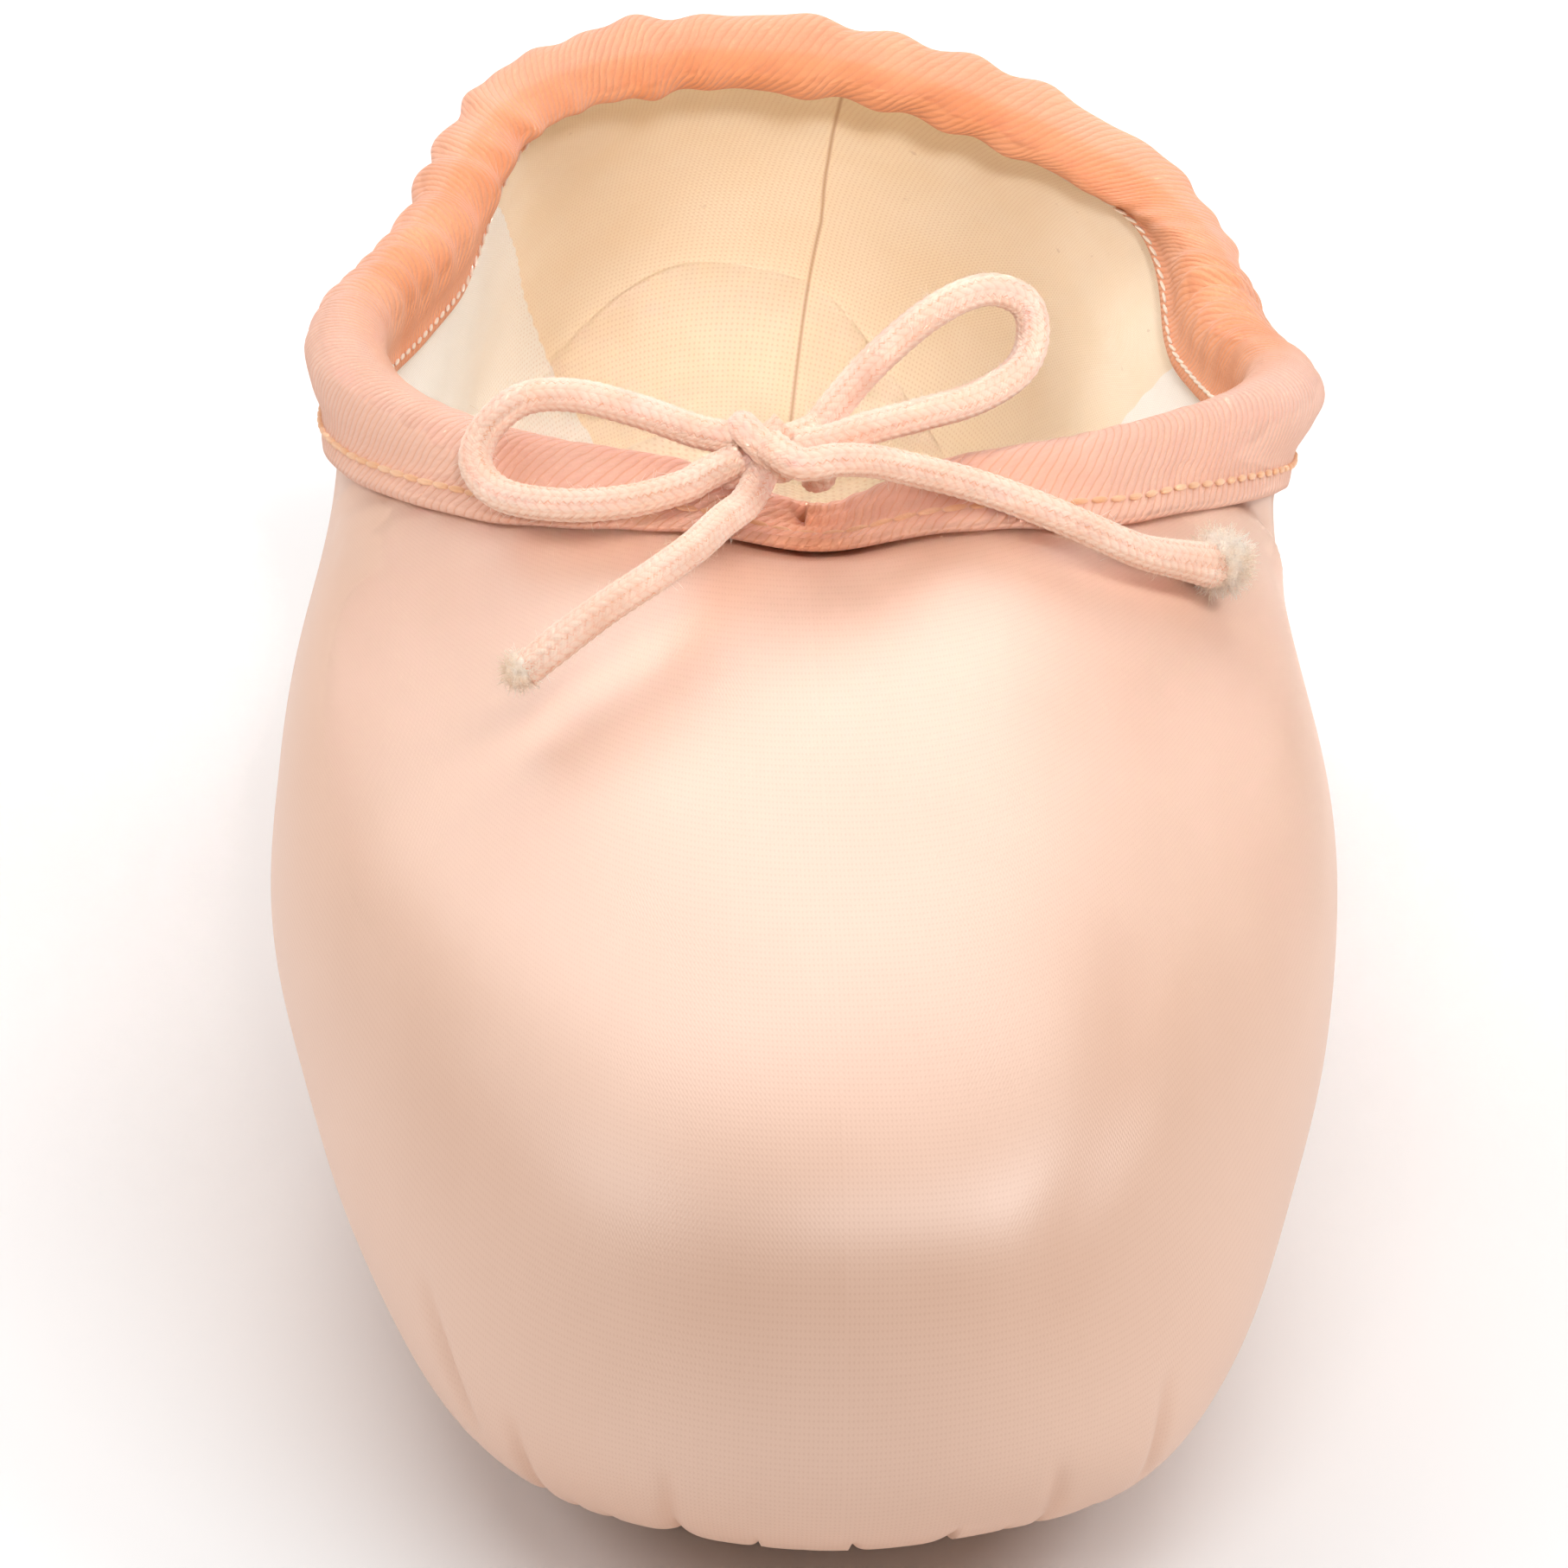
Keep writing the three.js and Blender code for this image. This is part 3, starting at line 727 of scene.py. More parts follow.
# Each station: percent back along the length, percent out to half the ball width, percent up.
SOLE_OPENING = [(13, 0), (13.5, 22), (18, 39), (29, 54), (45, 45), (67, 30), (91, 40), (96.5, 0)]
GIRTH = [(0, 0, 15), (1.2, 38, 23), (6, 74, 20.5), (29, 104, 48),
         (46, 99, 37), (67, 73, 32), (95, 65, 35), (104.5, 0, 39)]
SHOULDER = [(0.5, 0, 56), (2, 37, 53), (10.5, 70, 54), (31, 107.5, 64),
            (47.5, 94, 57), (67.5, 70, 49), (93.5, 64, 53), (103.5, 0, 59)]
BROW = [(4.5, 0, 72), (6.5, 37, 69), (16, 68, 70), (37, 99, 76),
        (51.5, 92, 71), (68.5, 71, 63), (92, 65, 69), (102, 0, 75)]
CROWN = [(20, 0, 85), (21.5, 34, 84.5), (31.5, 63, 82), (44, 91, 82),
         (55.5, 89, 80), (69.5, 74, 74), (89.5, 68, 84), (99.5, 0, 90)]
COLLAR = [(40.8, 0, 96), (38.8, 25, 101.2), (38.8, 48, 103), (46.5, 80, 97),
          (56.5, 100, 95), (71.5, 77, 85), (82.5, 79, 100), (95, 0, 99)]

station_height = INSTEP_HEIGHT + (HEEL_HEIGHT - INSTEP_HEIGHT) * REAR_SHARE


def side_loop(rows):
    rows = np.array(rows, float)
    up = rows[:, 2] / 100 * station_height if rows.shape[1] == 3 else np.full(len(rows), SOLE_TOP)
    return np.column_stack([rows[:, 1] / 200 * BALL_WIDTH, rows[:, 0] / 100 * LENGTH, up])


opening_loop = side_loop(SOLE_OPENING)
girth_loop = side_loop(GIRTH)
turn_loop = opening_loop + (girth_loop - opening_loop) * [TURN_OUT, TURN_OUT, TURN_UP]
half_net = np.stack(
    [opening_loop, turn_loop, girth_loop, *map(side_loop, (SHOULDER, BROW, CROWN, COLLAR))], axis=1)
net = np.concatenate([half_net, half_net[-2:0:-1] * [-1, 1, 1]])

lean_here = LEAN * smooth_step(LEAN_FROM, LEAN_FULL, net[..., 1])
lean_here = lean_here * np.clip((net[..., 2] - LEAN_PIVOT) / LEAN_HEIGHT, 0, 1)
above_pivot = net[..., 2] - LEAN_PIVOT
net = np.stack([
    net[..., 0] * np.cos(lean_here) + above_pivot * np.sin(lean_here),
    net[..., 1],
    LEAN_PIVOT + above_pivot * np.cos(lean_here) - net[..., 0] * np.sin(lean_here),
], axis=-1)
print("net of the last:", net.shape[0], "stations by", net.shape[1], "loops")

# %% [markdown]
# The surface is a cubic B-spline over the net. It needs two shares: one round the shoe, from the toe centre
# towards the right side and on past the heel, and one up the wall, from the sole opening to the collar.
# At the throat the tied string pulls the collar down a little, which a dip along the top edge gives.

# %% Surface of the last


def spline_weights(share):
    return np.stack([
        (1 - share) ** 3,
        3 * share ** 3 - 6 * share ** 2 + 4,
        -3 * share ** 3 + 3 * share ** 2 + 3 * share + 1,
        share ** 3,
    ], axis=-1) / 6


def round_weights(share):
    count = net.shape[0]
    at = np.mod(share, 1) * count
    first = np.floor(at).astype(int)
    near = spline_weights(at - first)
    weights = np.zeros((len(at), count))
    for step in range(4):
        np.add.at(weights, (np.arange(len(at)), (first + step - 1) % count), near[:, step])
    return weights


def up_weights(share):
    count = net.shape[1]
    at = np.clip(share, 0, 1) * (count - 1)
    first = np.minimum(np.floor(at).astype(int), count - 2)
    near = spline_weights(at - first)
    weights = np.zeros((len(at), count + 2))
    for step in range(4):
        weights[np.arange(len(at)), first + step] += near[:, step]
    inside = weights[:, 1:-1].copy()
    inside[:, 0] += 2 * weights[:, 0]
    inside[:, 1] -= weights[:, 0]
    inside[:, -1] += 2 * weights[:, -1]
    inside[:, -2] -= weights[:, -1]
    return inside


def net_point(around, up):
    return np.einsum("ni,nj,ijc->nc", round_weights(around), up_weights(up), net)


def sole_rise(back):
    spring = TOE_SPRING * np.maximum(0, (TOE_SPRING_FROM - back) / TOE_SPRING_FROM) ** 2
    along = np.clip((back - ARCH_FROM) / (ARCH_TO - ARCH_FROM), 0, 1)
    return spring + ARCH_RISE * np.sin(np.pi * along) ** 2


PROBES_ROUND = 336
PROBE_LEVELS = (0.3, 0.4, 0.5)
probe = np.linspace(0, 1, PROBES_ROUND, endpoint=False)
probe_back = np.concatenate([net_point(probe, np.full(PROBES_ROUND, level))[:, 1] for level in PROBE_LEVELS])
net_toe = probe_back.min()
net_stretch = LENGTH / (probe_back.max() - net_toe)


def skin(around, up):
    """The last's surface in the shoe's frame, in millimetres."""
    points = net_point(around, up)
    back = (points[:, 1] - net_toe) * net_stretch
    points[:, 2] += sole_rise(back) * (1 - smooth_step(SOLE_TOP, RISE_FADES_OUT, points[:, 2]))
    from_pull = (np.mod(around - PULL_AT + 0.5, 1) - 0.5) / PULL_HALF_WIDTH
    points[:, 2] -= PULL_DEPTH * np.exp(-from_pull ** 2) * smooth_step(PULL_FROM, 1.0, up)
    points[:, 1] = back
    return points + SHOE_SHIFT


SLOPE_STEP = 1e-3


def step_round(around, up):
    return skin(around + SLOPE_STEP, up) - skin(around - SLOPE_STEP, up)


def millimetres_round(around, up):
    """How many millimetres one whole share round the shoe is worth at each point."""
    return np.linalg.norm(step_round(around, up), axis=1) / (2 * SLOPE_STEP)


def outward(around, up):
    rising = skin(around, np.minimum(up + SLOPE_STEP, 1)) - skin(around, np.maximum(up - SLOPE_STEP, 0))
    normal = np.cross(step_round(around, up), rising)
    return normal / np.linalg.norm(normal, axis=1, keepdims=True)


def wall_at(up):
    return BOX_WALL + (COLLAR_WALL - BOX_WALL) * up


low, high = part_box("upper")
check = skin(np.repeat(probe, len(PROBE_LEVELS)), np.tile(PROBE_LEVELS, PROBES_ROUND))
print("solid upper from", np.round(np.array(low) / MM, 1), "to", np.round(np.array(high) / MM, 1))
print("drawn skin from", np.round(check.min(axis=0), 1), "to", np.round(check.max(axis=0), 1))

# %% [markdown]
# ## Relief of the satin
# The satin is pulled over the toe and pleated under the sole, so narrow folds fan round the box. Under the
# left collar it is gathered in soft ridges. On the right, the stiff wing of the box ends in a rim, and the
# soft quarter behind it lies lower. Each crease is listed: its two ends, its width and its height.

# %% Creases and pleats
# Start around, start up, end around, end up, half width in mm, height in mm. Negative is a trough.
CREASES = [
    (0.783, 0.935, 0.752, 0.825, 1.0, 0.35),
    (0.808, 0.945, 0.768, 0.840, 1.1, 0.40),
    (0.824, 0.950, 0.778, 0.835, 1.1, 0.38),
    (0.840, 0.955, 0.794, 0.855, 1.2, 0.32),
    (0.856, 0.960, 0.815, 0.880, 1.2, 0.22),
    (0.189, 0.950, 0.213, 0.900, 1.3, 0.45),
    (0.211, 0.905, 0.234, 0.840, 1.3, 0.55),
    (0.232, 0.845, 0.248, 0.765, 1.3, 0.50),
    (0.196, 0.975, 0.224, 0.915, 1.2, -0.55),
    (0.220, 0.925, 0.246, 0.850, 1.3, -0.60),
    (0.242, 0.860, 0.256, 0.780, 1.2, -0.50),
    (0.228, 0.970, 0.247, 0.900, 0.9, 0.35),
    (0.248, 0.965, 0.262, 0.880, 0.9, 0.35),
    (0.868, 0.300, 0.854, 0.385, 0.9, -0.60),
    (0.888, 0.210, 0.884, 0.335, 0.8, -0.55),
    (0.938, 0.220, 0.939, 0.340, 0.8, -0.45),
    (0.079, 0.230, 0.076, 0.335, 0.8, -0.45),
    (0.115, 0.255, 0.117, 0.370, 0.9, -0.55),
    (0.118, 0.700, 0.072, 0.500, 3.2, -0.35),
]
PLEAT_SPACING = 4.3
PLEAT_DEPTH = 0.8
PLEAT_FAN = (50.0, 66.0)
HEEL_PLEAT_DEPTH = 0.35
SEAM_STATIONS = [(0.2585, 0.30), (0.7415, 0.30), (0.4940, 0.22)]
SEAM_HALF_WIDTH = 0.45
SEAM_RIDGE = 0.18
SEAM_RIDGE_AT = 1.2
SEAM_RIDGE_HALF_WIDTH = 0.9
HEEL_PLEAT_FAN = (34.0, 48.0)
PLEAT_FADE = 0.09
UNEVENNESS = 0.10
CREASE_STOPS = 28


def crease_relief(points, start_around, start_up, end_around, end_up, half_width, height):
    share = np.linspace(0, 1, CREASE_STOPS)
    line = skin(start_around + (end_around - start_around) * share, start_up + (end_up - start_up) * share)
    best = np.full(len(points), np.inf)
    at = np.zeros(len(points))
    for fraction, spot in zip(share, line):
        gap = np.sum((points - spot) ** 2, axis=1)
        nearer = gap < best
        best[nearer] = gap[nearer]
        at[nearer] = fraction
    fade = np.sin(np.pi * np.clip(0.12 + 0.76 * at, 0, 1)) ** 0.8
    return height * fade * np.exp(-best / half_width ** 2)


def satin_relief(around, up, points):
    """How far the satin stands off the last, in millimetres, outwards positive."""
    ring = skin(probe, np.full(len(probe), 1 / 6))
    lengths = running_length(np.vstack([ring, ring[:1]]))
    arc = np.interp(np.mod(around, 1), np.append(probe, 1), lengths)
    from_toe = np.where(arc < lengths[-1] / 2, arc, arc - lengths[-1])
    phase = from_toe / PLEAT_SPACING + 0.32 * np.sin(from_toe * 0.41 + 1.1) + 0.5
    fold = np.floor(phase)
    reach = 0.215 + 0.075 * np.mod(np.sin(fold * 12.9898) * 43758.5453, 1)
    valley = (1 - np.abs(np.sin(np.pi * phase))) ** 3
    toe_share = 1 - smooth_step(*PLEAT_FAN, np.abs(from_toe))
    from_heel = lengths[-1] / 2 - np.abs(from_toe)
    heel_share = 1 - smooth_step(*HEEL_PLEAT_FAN, from_heel)
    depth = PLEAT_DEPTH * toe_share + HEEL_PLEAT_DEPTH * heel_share
    relief = -depth * valley * (1 - smooth_step(reach - PLEAT_FADE, reach, up))
    for row in CREASES:
        relief += crease_relief(points, *row)
    for station, depth in SEAM_STATIONS:
        away = (around - station) * millimetres_round(around, up)
        shown = smooth_step(0.16, 0.24, up)
        relief -= depth * shown * np.exp(-(away / SEAM_HALF_WIDTH) ** 2)
        relief += SEAM_RIDGE * shown * np.exp(-((away - SEAM_RIDGE_AT) / SEAM_RIDGE_HALF_WIDTH) ** 2)
    x, y, z = points.T
    relief += UNEVENNESS * np.sin(x * 0.21 + 0.6) * np.sin(y * 0.16 + z * 0.19)
    return relief


# %% [markdown]
# ## The satin upper
# Satin has long floats of thread on its face, so it shines softly across a broad patch and its weave shows
# only close up. The upper is one closed shell: the satin face outside and the paste-stiffened backing inside.
# A plane with Solidify could make the shell, but two skins from the last let the lining keep its own room.

# %% Satin shell
SATIN_ROUND = 480
SATIN_UP = 112
BACKING_UP = 26
TOE_CROWDING = 0.45
LINING_ROOM = 0.75


def stations_round(count, crowding=0.0):
    """Shares round the shoe, closer together at the toe."""
    even = np.arange(count) / count
    return even - crowding * np.sin(FULL_TURN * even) / FULL_TURN


def grid(around, up):
    up_grid, around_grid = np.meshgrid(up, around, indexing="ij")
    return around_grid.ravel(), up_grid.ravel()


def cloth_map(rings):
    """Texture map in millimetres: along each ring, and across the rings."""
    first_across = running_length(rings[:, 0])
    closed_ring = np.concatenate([rings, rings[:, :1]], axis=1)
    middle = closed_ring[len(rings) // 3]
    along = running_length(middle)
    step = np.mean(np.linalg.norm(np.diff(rings, axis=0), axis=2), axis=1)
    across = np.concatenate([[0], np.cumsum(step)])
    across = np.append(across, across[-1] + first_across[-1] / len(rings))
    return np.stack(np.meshgrid(across, along, indexing="ij")[::-1], axis=-1)


satin_around = stations_round(SATIN_ROUND, TOE_CROWDING)
around, up = grid(satin_around, np.linspace(1, 0, SATIN_UP))
face = skin(around, up)
relief = satin_relief(around, up, face)
face = face + outward(around, up) * relief[:, None]
around_in, up_in = grid(satin_around, np.linspace(0, 1, BACKING_UP))
backing = skin(around_in, up_in) - outward(around_in, up_in) * (wall_at(up_in) - LINING_ROOM)[:, None]
satin_rings = np.concatenate([face, backing]).reshape(-1, SATIN_ROUND, 3)
satin = lofted_piece("satin_upper", satin_rings, cloth_map(satin_rings))
# The trough value is how deep a point lies in a pleat, crease or seam dip; the satin's colour darkens there
# as painted shade.
DARKEST_TROUGH = 0.7
paint(satin, "trough", np.concatenate([np.clip(-relief / DARKEST_TROUGH, 0, 1), np.zeros(len(backing))]))
print(f"satin upper: {len(satin.data.polygons)} faces, relief {relief.min():.2f} to {relief.max():.2f} mm")

# %% Satin material
satin_material, tree, shader = new_material(
    "peach satin", Specular_IOR_Level=1.0, IOR=1.75, Sheen_Weight=0.1, Sheen_Roughness=0.45)
surface = surface_map(tree)
tone = tone_of(tree, surface, 0.035, (0.80, 0.485, 0.335), (0.83, 0.515, 0.365))
weave = weave_of(tree, surface, 3.0, 2.3, 0.12)
# Painted shade: the colour darkens in the gaps of the weave.
SATIN_SHADE = (0.66, 0.33, 0.19)
shaded = mixed_colour(tree, times(tree, weave["Gap"], 0.35), tone["Colour"], SATIN_SHADE)
# Painted shade: the colour darkens further in the troughs of pleats, creases and seams.
trough = times(tree, painted(tree, "trough"), 0.55)
tree.links.new(mixed_colour(tree, trough, shaded, SATIN_SHADE), shader.inputs["Base Color"])
tree.links.new(spread(tree, tone["Patch"], 0.0, 1.0, 0.45, 0.52), shader.inputs["Roughness"])
bumped(tree, shader, weave["Height"], 0.3, 0.04)
satin.data.materials.append(satin_material)
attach(satin, "root")
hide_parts("upper")

# %% [markdown]
# ## The lining
# Inside, the heel is lined with tan cotton and the sides with a paler, thinner one that overlaps it. The
# edge of the side lining shows on the left as a soft fold, and a thin seam runs down the heel. The lining
# could be painted on the inside of the satin shell, but a layer of its own gives the overlap a real step.

# %% Lining shell
LINING_ROUND = 320
LINING_UP = 84
LINING_BACK_UP = 20
LINING_TOP = 0.985
LINING_FOOT = 0.03
LAP_STEP = 0.45
LAP_EDGE_UP = [0.0, 0.2, 0.69, 1.0]
LAP_EDGE_LEFT = [0.535, 0.546, 0.588, 0.614]
LAP_EDGE_RIGHT = [0.40, 0.385, 0.372, 0.358]
HEEL_SEAM_UP = [0.0, 0.2, 0.49, 0.87, 1.0]
HEEL_SEAM_AROUND = [0.4815, 0.4819, 0.4833, 0.4944, 0.4965]
FAR_AWAY = 99

around, up = grid(stations_round(LINING_ROUND), np.linspace(LINING_TOP, LINING_FOOT, LINING_UP))
millimetres = millimetres_round(around, up)
past_left = (around - np.interp(up, LAP_EDGE_UP, LAP_EDGE_LEFT)) * millimetres
past_right = (np.interp(up, LAP_EDGE_UP, LAP_EDGE_RIGHT) - around) * millimetres
side_share = smooth_step(-0.4, 0.4, np.maximum(past_left, past_right))
lap_fold = np.exp(-((past_left - 1.2) / 1.0) ** 2)
from_seam = (around - np.interp(up, HEEL_SEAM_UP, HEEL_SEAM_AROUND)) * millimetres
slack = 0.25 * np.sin(around * 95 + up * 6) * np.sin(up * 13 + around * 20)
inward = LAP_STEP * side_share + 0.5 * lap_fold + slack - 0.3 * np.exp(-(from_seam / 0.5) ** 2)
lining_face = skin(around, up) - outward(around, up) * (wall_at(up) - 0.2 + inward * 0.6)[:, None]
back_levels = np.linspace(LINING_FOOT, LINING_TOP, LINING_BACK_UP)
around_in, up_in = grid(stations_round(LINING_ROUND), back_levels)
lining_back = skin(around_in, up_in)
lining_back = lining_back - outward(around_in, up_in) * (wall_at(up_in) - LINING_ROOM + 0.1)[:, None]
lining_rings = np.concatenate([lining_face, lining_back]).reshape(-1, LINING_ROUND, 3)
lining = lofted_piece("lining", lining_rings, cloth_map(lining_rings))
far = np.full(len(lining_back), FAR_AWAY)
paint(lining, "from_seam", np.concatenate([from_seam, far]))
paint(lining, "past_lap", np.concatenate([np.maximum(past_left, past_right), -far]))
print("lining:", len(lining.data.polygons), "faces")

# %% Lining material
lining_material, tree, shader = new_material(
    "cotton lining", Roughness=0.9, Specular_IOR_Level=0.2, Sheen_Weight=0.12)
surface = surface_map(tree)
weave = weave_of(tree, surface, 2.1, 2.1, 0.5)
heel_tone = tone_of(tree, surface, 0.08, (0.96, 0.79, 0.58), (0.98, 0.83, 0.64), specks=0.2)
side_tone = tone_of(tree, surface, 0.06, (0.96, 0.90, 0.81), (0.97, 0.92, 0.84))
past_lap = spread(tree, painted(tree, "past_lap"), -0.15, 0.15)
cloth = mixed_colour(tree, past_lap, heel_tone["Colour"], side_tone["Colour"])
SEAM_HALF_WIDTH_SHOWN = 0.28
SEAM_BROWN = (0.55, 0.30, 0.14)
seam_distance = math_node(tree, "ABSOLUTE", painted(tree, "from_seam"))
near_seam = spread(tree, seam_distance, SEAM_HALF_WIDTH_SHOWN, 0.05, 0.0, 0.7)
sewn = mixed_colour(tree, near_seam, cloth, SEAM_BROWN)
# Painted shade: the colour darkens in the gaps of the weave.
CANVAS_SHADE = (0.62, 0.34, 0.17)
shaded = mixed_colour(tree, times(tree, weave["Gap"], 0.3), sewn, CANVAS_SHADE)
tree.links.new(shaded, shader.inputs["Base Color"])
bumped(tree, shader, weave["Height"], 0.4, 0.08)
lining.data.materials.append(lining_material)
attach(lining, "root")

# %% [markdown]
# ## The collar binding
# A strip of twill tape is folded over the raw edge of the upper and makes the casing for the drawstring,
# so it has a thin lip outside, a fat roll on top and a lip inside. Where the string pulls it, at the heel,
# it gathers into lumps. Its section is a list of points: how far down from the edge and out of the satin.

# %% Binding section
# Down from the collar edge and out from the satin, in millimetres. The face runs from lip to lip.
TAPE_FACE = [
    (6.0, 0.9), (5.8, 1.35), (4.8, 1.45), (3.2, 1.5), (1.4, 2.2), (-0.6, 2.4), (-2.2, 1.3),
    (-2.8, -0.7), (-2.2, -2.7), (-0.6, -3.8), (1.4, -3.6), (3.2, -2.8), (4.6, -2.75), (5.0, -2.3),
]
TAPE_CHANNEL = [(4.9, -1.95), (2.5, -1.9), (-0.6, -1.8), (-0.6, 0.4), (3.0, 0.55), (5.9, 0.5)]
TAPE_FACE_POINTS = 44
TAPE_ROUND = 1100
LOWEST_LEVEL = 0.72
COLLAR_LEVELS = 40
face_points = np.column_stack([TAPE_FACE, np.zeros(len(TAPE_FACE))])
face_line = smooth_route(face_points, 0.01)
face_line = face_line[np.linspace(0, len(face_line) - 1, TAPE_FACE_POINTS).astype(int), :2]
section = np.vstack([face_line, TAPE_CHANNEL])
across_section = running_length(section)


def collar_place(around, down, out):
    """Points at a distance down the wall from the collar edge and out from the satin."""
    levels = np.linspace(1, LOWEST_LEVEL, COLLAR_LEVELS)
    columns = np.stack([skin(around, np.full(len(around), level)) for level in levels])
    steps = np.linalg.norm(np.diff(columns, axis=0), axis=2)
    depth = np.vstack([np.zeros(len(around)), np.cumsum(steps, axis=0)])
    levels_here = np.array([np.interp(down[:, i], depth[:, i], levels) for i in range(len(around))]).T
    rise = columns[0] - columns[2]
    rise = rise / np.linalg.norm(rise, axis=1, keepdims=True)
    rows = []
    for row in range(len(down)):
        level = levels_here[row]
        point = skin(around, level) + outward(around, level) * out[row][:, None]
        rows.append(point + rise * np.maximum(0, -down[row])[:, None])
    return np.array(rows)


# %% [markdown]
# The lumps are a sum of waves with a fixed seed, strongest at the heel. At the throat the tape is bunched
# into two or three rows, and the string leaves its casing through two small slits, pressed in and painted
# dark as shadow.

# %% Binding shell
tape_rng = np.random.default_rng(7)
tape_around = stations_round(TAPE_ROUND)
edge_length = running_length(skin(tape_around, np.ones(TAPE_ROUND)))
lumps = np.zeros(TAPE_ROUND)
for wave in range(26, 92, 3):
    lumps += tape_rng.uniform(0.4, 1.0) * np.cos(FULL_TURN * (wave * tape_around + tape_rng.uniform()))
lumps /= np.abs(lumps).max()
creep = np.zeros(TAPE_ROUND)
for wave in range(5, 30, 4):
    creep += np.cos(FULL_TURN * (wave * tape_around + tape_rng.uniform())) / 8
heel_share = smooth_step(0.27, 0.34, tape_around) * (1 - smooth_step(0.66, 0.73, tape_around))
gather = (0.10 + 0.62 * heel_share) * lumps

# Each slit: its share round the collar, and how far down the lip.
SLITS = [(0.9625, 1.0), (0.9985, 1.2)]
SLIT_HALF_LENGTH = 2.4
SLIT_HALF_HEIGHT = 0.9
SLIT_DEPTH = 0.9
THROAT_ROWS = 0.26
THROAT_HALF_WIDTH = 0.028
ROW_PITCH = 1.5
LIP_CREEP = 0.22
from_throat = np.where(tape_around > 0.5, tape_around - 1, tape_around)
throat_share = np.exp(-(from_throat / THROAT_HALF_WIDTH) ** 2)

tangent = np.gradient(section, axis=0)
normal = np.column_stack([-tangent[:, 1], tangent[:, 0]])
normal /= np.linalg.norm(normal, axis=1, keepdims=True)
if np.dot(normal[TAPE_FACE_POINTS // 2], [-1, 0]) < 0:
    normal = -normal
on_roll = np.exp(-((section[:, 0] + 0.9) / 2.6) ** 2)
on_roll[TAPE_FACE_POINTS:] = 0
on_outer_lip = (section[:, 1] > 0.6) & (section[:, 0] > -1.5)
on_outer_lip[TAPE_FACE_POINTS:] = False
rows_wave = np.sin(across_section * FULL_TURN / ROW_PITCH) * on_outer_lip
slip = on_roll[:, None] * gather[None, :] + THROAT_ROWS * rows_wave[:, None] * throat_share[None, :]
slit_paint = np.zeros((len(section), TAPE_ROUND))
for station, down_at in SLITS:
    apart = (tape_around - station) * edge_length[-1]
    across_slit = (section[:, 0] - down_at) / SLIT_HALF_HEIGHT
    shape = np.exp(-(apart / SLIT_HALF_LENGTH) ** 2)[None, :] * np.exp(-across_slit ** 2)[:, None]
    slit_paint += shape * on_outer_lip[:, None]
slip -= SLIT_DEPTH * slit_paint
lip_wave = LIP_CREEP * creep[None, :] * (section[:, 0] > 2.0)[:, None]
down = section[:, :1] + normal[:, :1] * slip + lip_wave
out = section[:, 1:] + normal[:, 1:] * slip
tape_rings = collar_place(tape_around, down, out)
along_edge = np.append(edge_length, edge_length[-1] * (1 + 1 / TAPE_ROUND))
tape_texture = np.stack(np.meshgrid(
    np.append(across_section, across_section[-1] + 0.4), along_edge, indexing="ij")[::-1], axis=-1)
binding = lofted_piece("collar_tape", tape_rings, tape_texture)
# Painted shade: the tape's inner side, its heel and its throat are painted a deeper orange, for the shade
# inside the shoe and under the bow.
inner_side = smooth_step(-0.2, -2.2, section[:, 1])
inside_shade_share = inner_side[:, None] * (0.35 + 0.65 * heel_share) + 0.6 * heel_share + 0.55 * throat_share
paint(binding, "inside", np.clip(inside_shade_share, 0, 1))
paint(binding, "slit", np.clip(slit_paint, 0, 1))
print("binding:", len(binding.data.polygons), "faces,", round(edge_length[-1]), "mm round the collar")

# %% Binding material
tape_material, tree, shader = new_material(
    "twill tape", Roughness=0.78, Specular_IOR_Level=0.3, Sheen_Weight=0.2, Sheen_Roughness=0.5)
surface = surface_map(tree)
wales = place_group(tree, twill_group, {
    "Surface": surface, "Wales per mm": 1.15, "Slant": -0.75, "Wander": 2.2})
outside_tone = tone_of(tree, surface, 0.06, (0.80, 0.43, 0.30), (0.84, 0.49, 0.36))
# The deeper orange of painted shade, for the inner side, the heel and the throat.
inside_shade_tone = tone_of(tree, surface, 0.09, (0.80, 0.29, 0.12), (0.85, 0.36, 0.18))
cloth = mixed_colour(tree, painted(tree, "inside"), outside_tone["Colour"], inside_shade_tone["Colour"])
# Painted shade: the furrows between the wales are darkened.
TAPE_FURROW_SHADE = (0.72, 0.28, 0.14)
furrow_shaded_tape = mixed_colour(tree, times(tree, wales["Furrow"], 0.6), cloth, TAPE_FURROW_SHADE)
# Painted shadow: the slits are coloured a dark red where the casing opens.
SLIT_SHADOW_RED = (0.40, 0.08, 0.02)
tree.links.new(mixed_colour(tree, painted(tree, "slit"), furrow_shaded_tape, SLIT_SHADOW_RED), shader.inputs["Base Color"])
bumped(tree, shader, wales["Height"], 0.55, 0.22)
binding.data.materials.append(tape_material)
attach(binding, "root")
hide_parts("collar_binding")

# %% [markdown]
# ## Stitches
# One row of thread holds the outer lip of the tape to the satin and another the inner lip to the lining.
# Copying a stitch by hand would be slow, so a Geometry Nodes tree walks a line and sets one small bead per
# stitch along it, drawn out and turned to the line and leaning a little, as a twisted thread does.

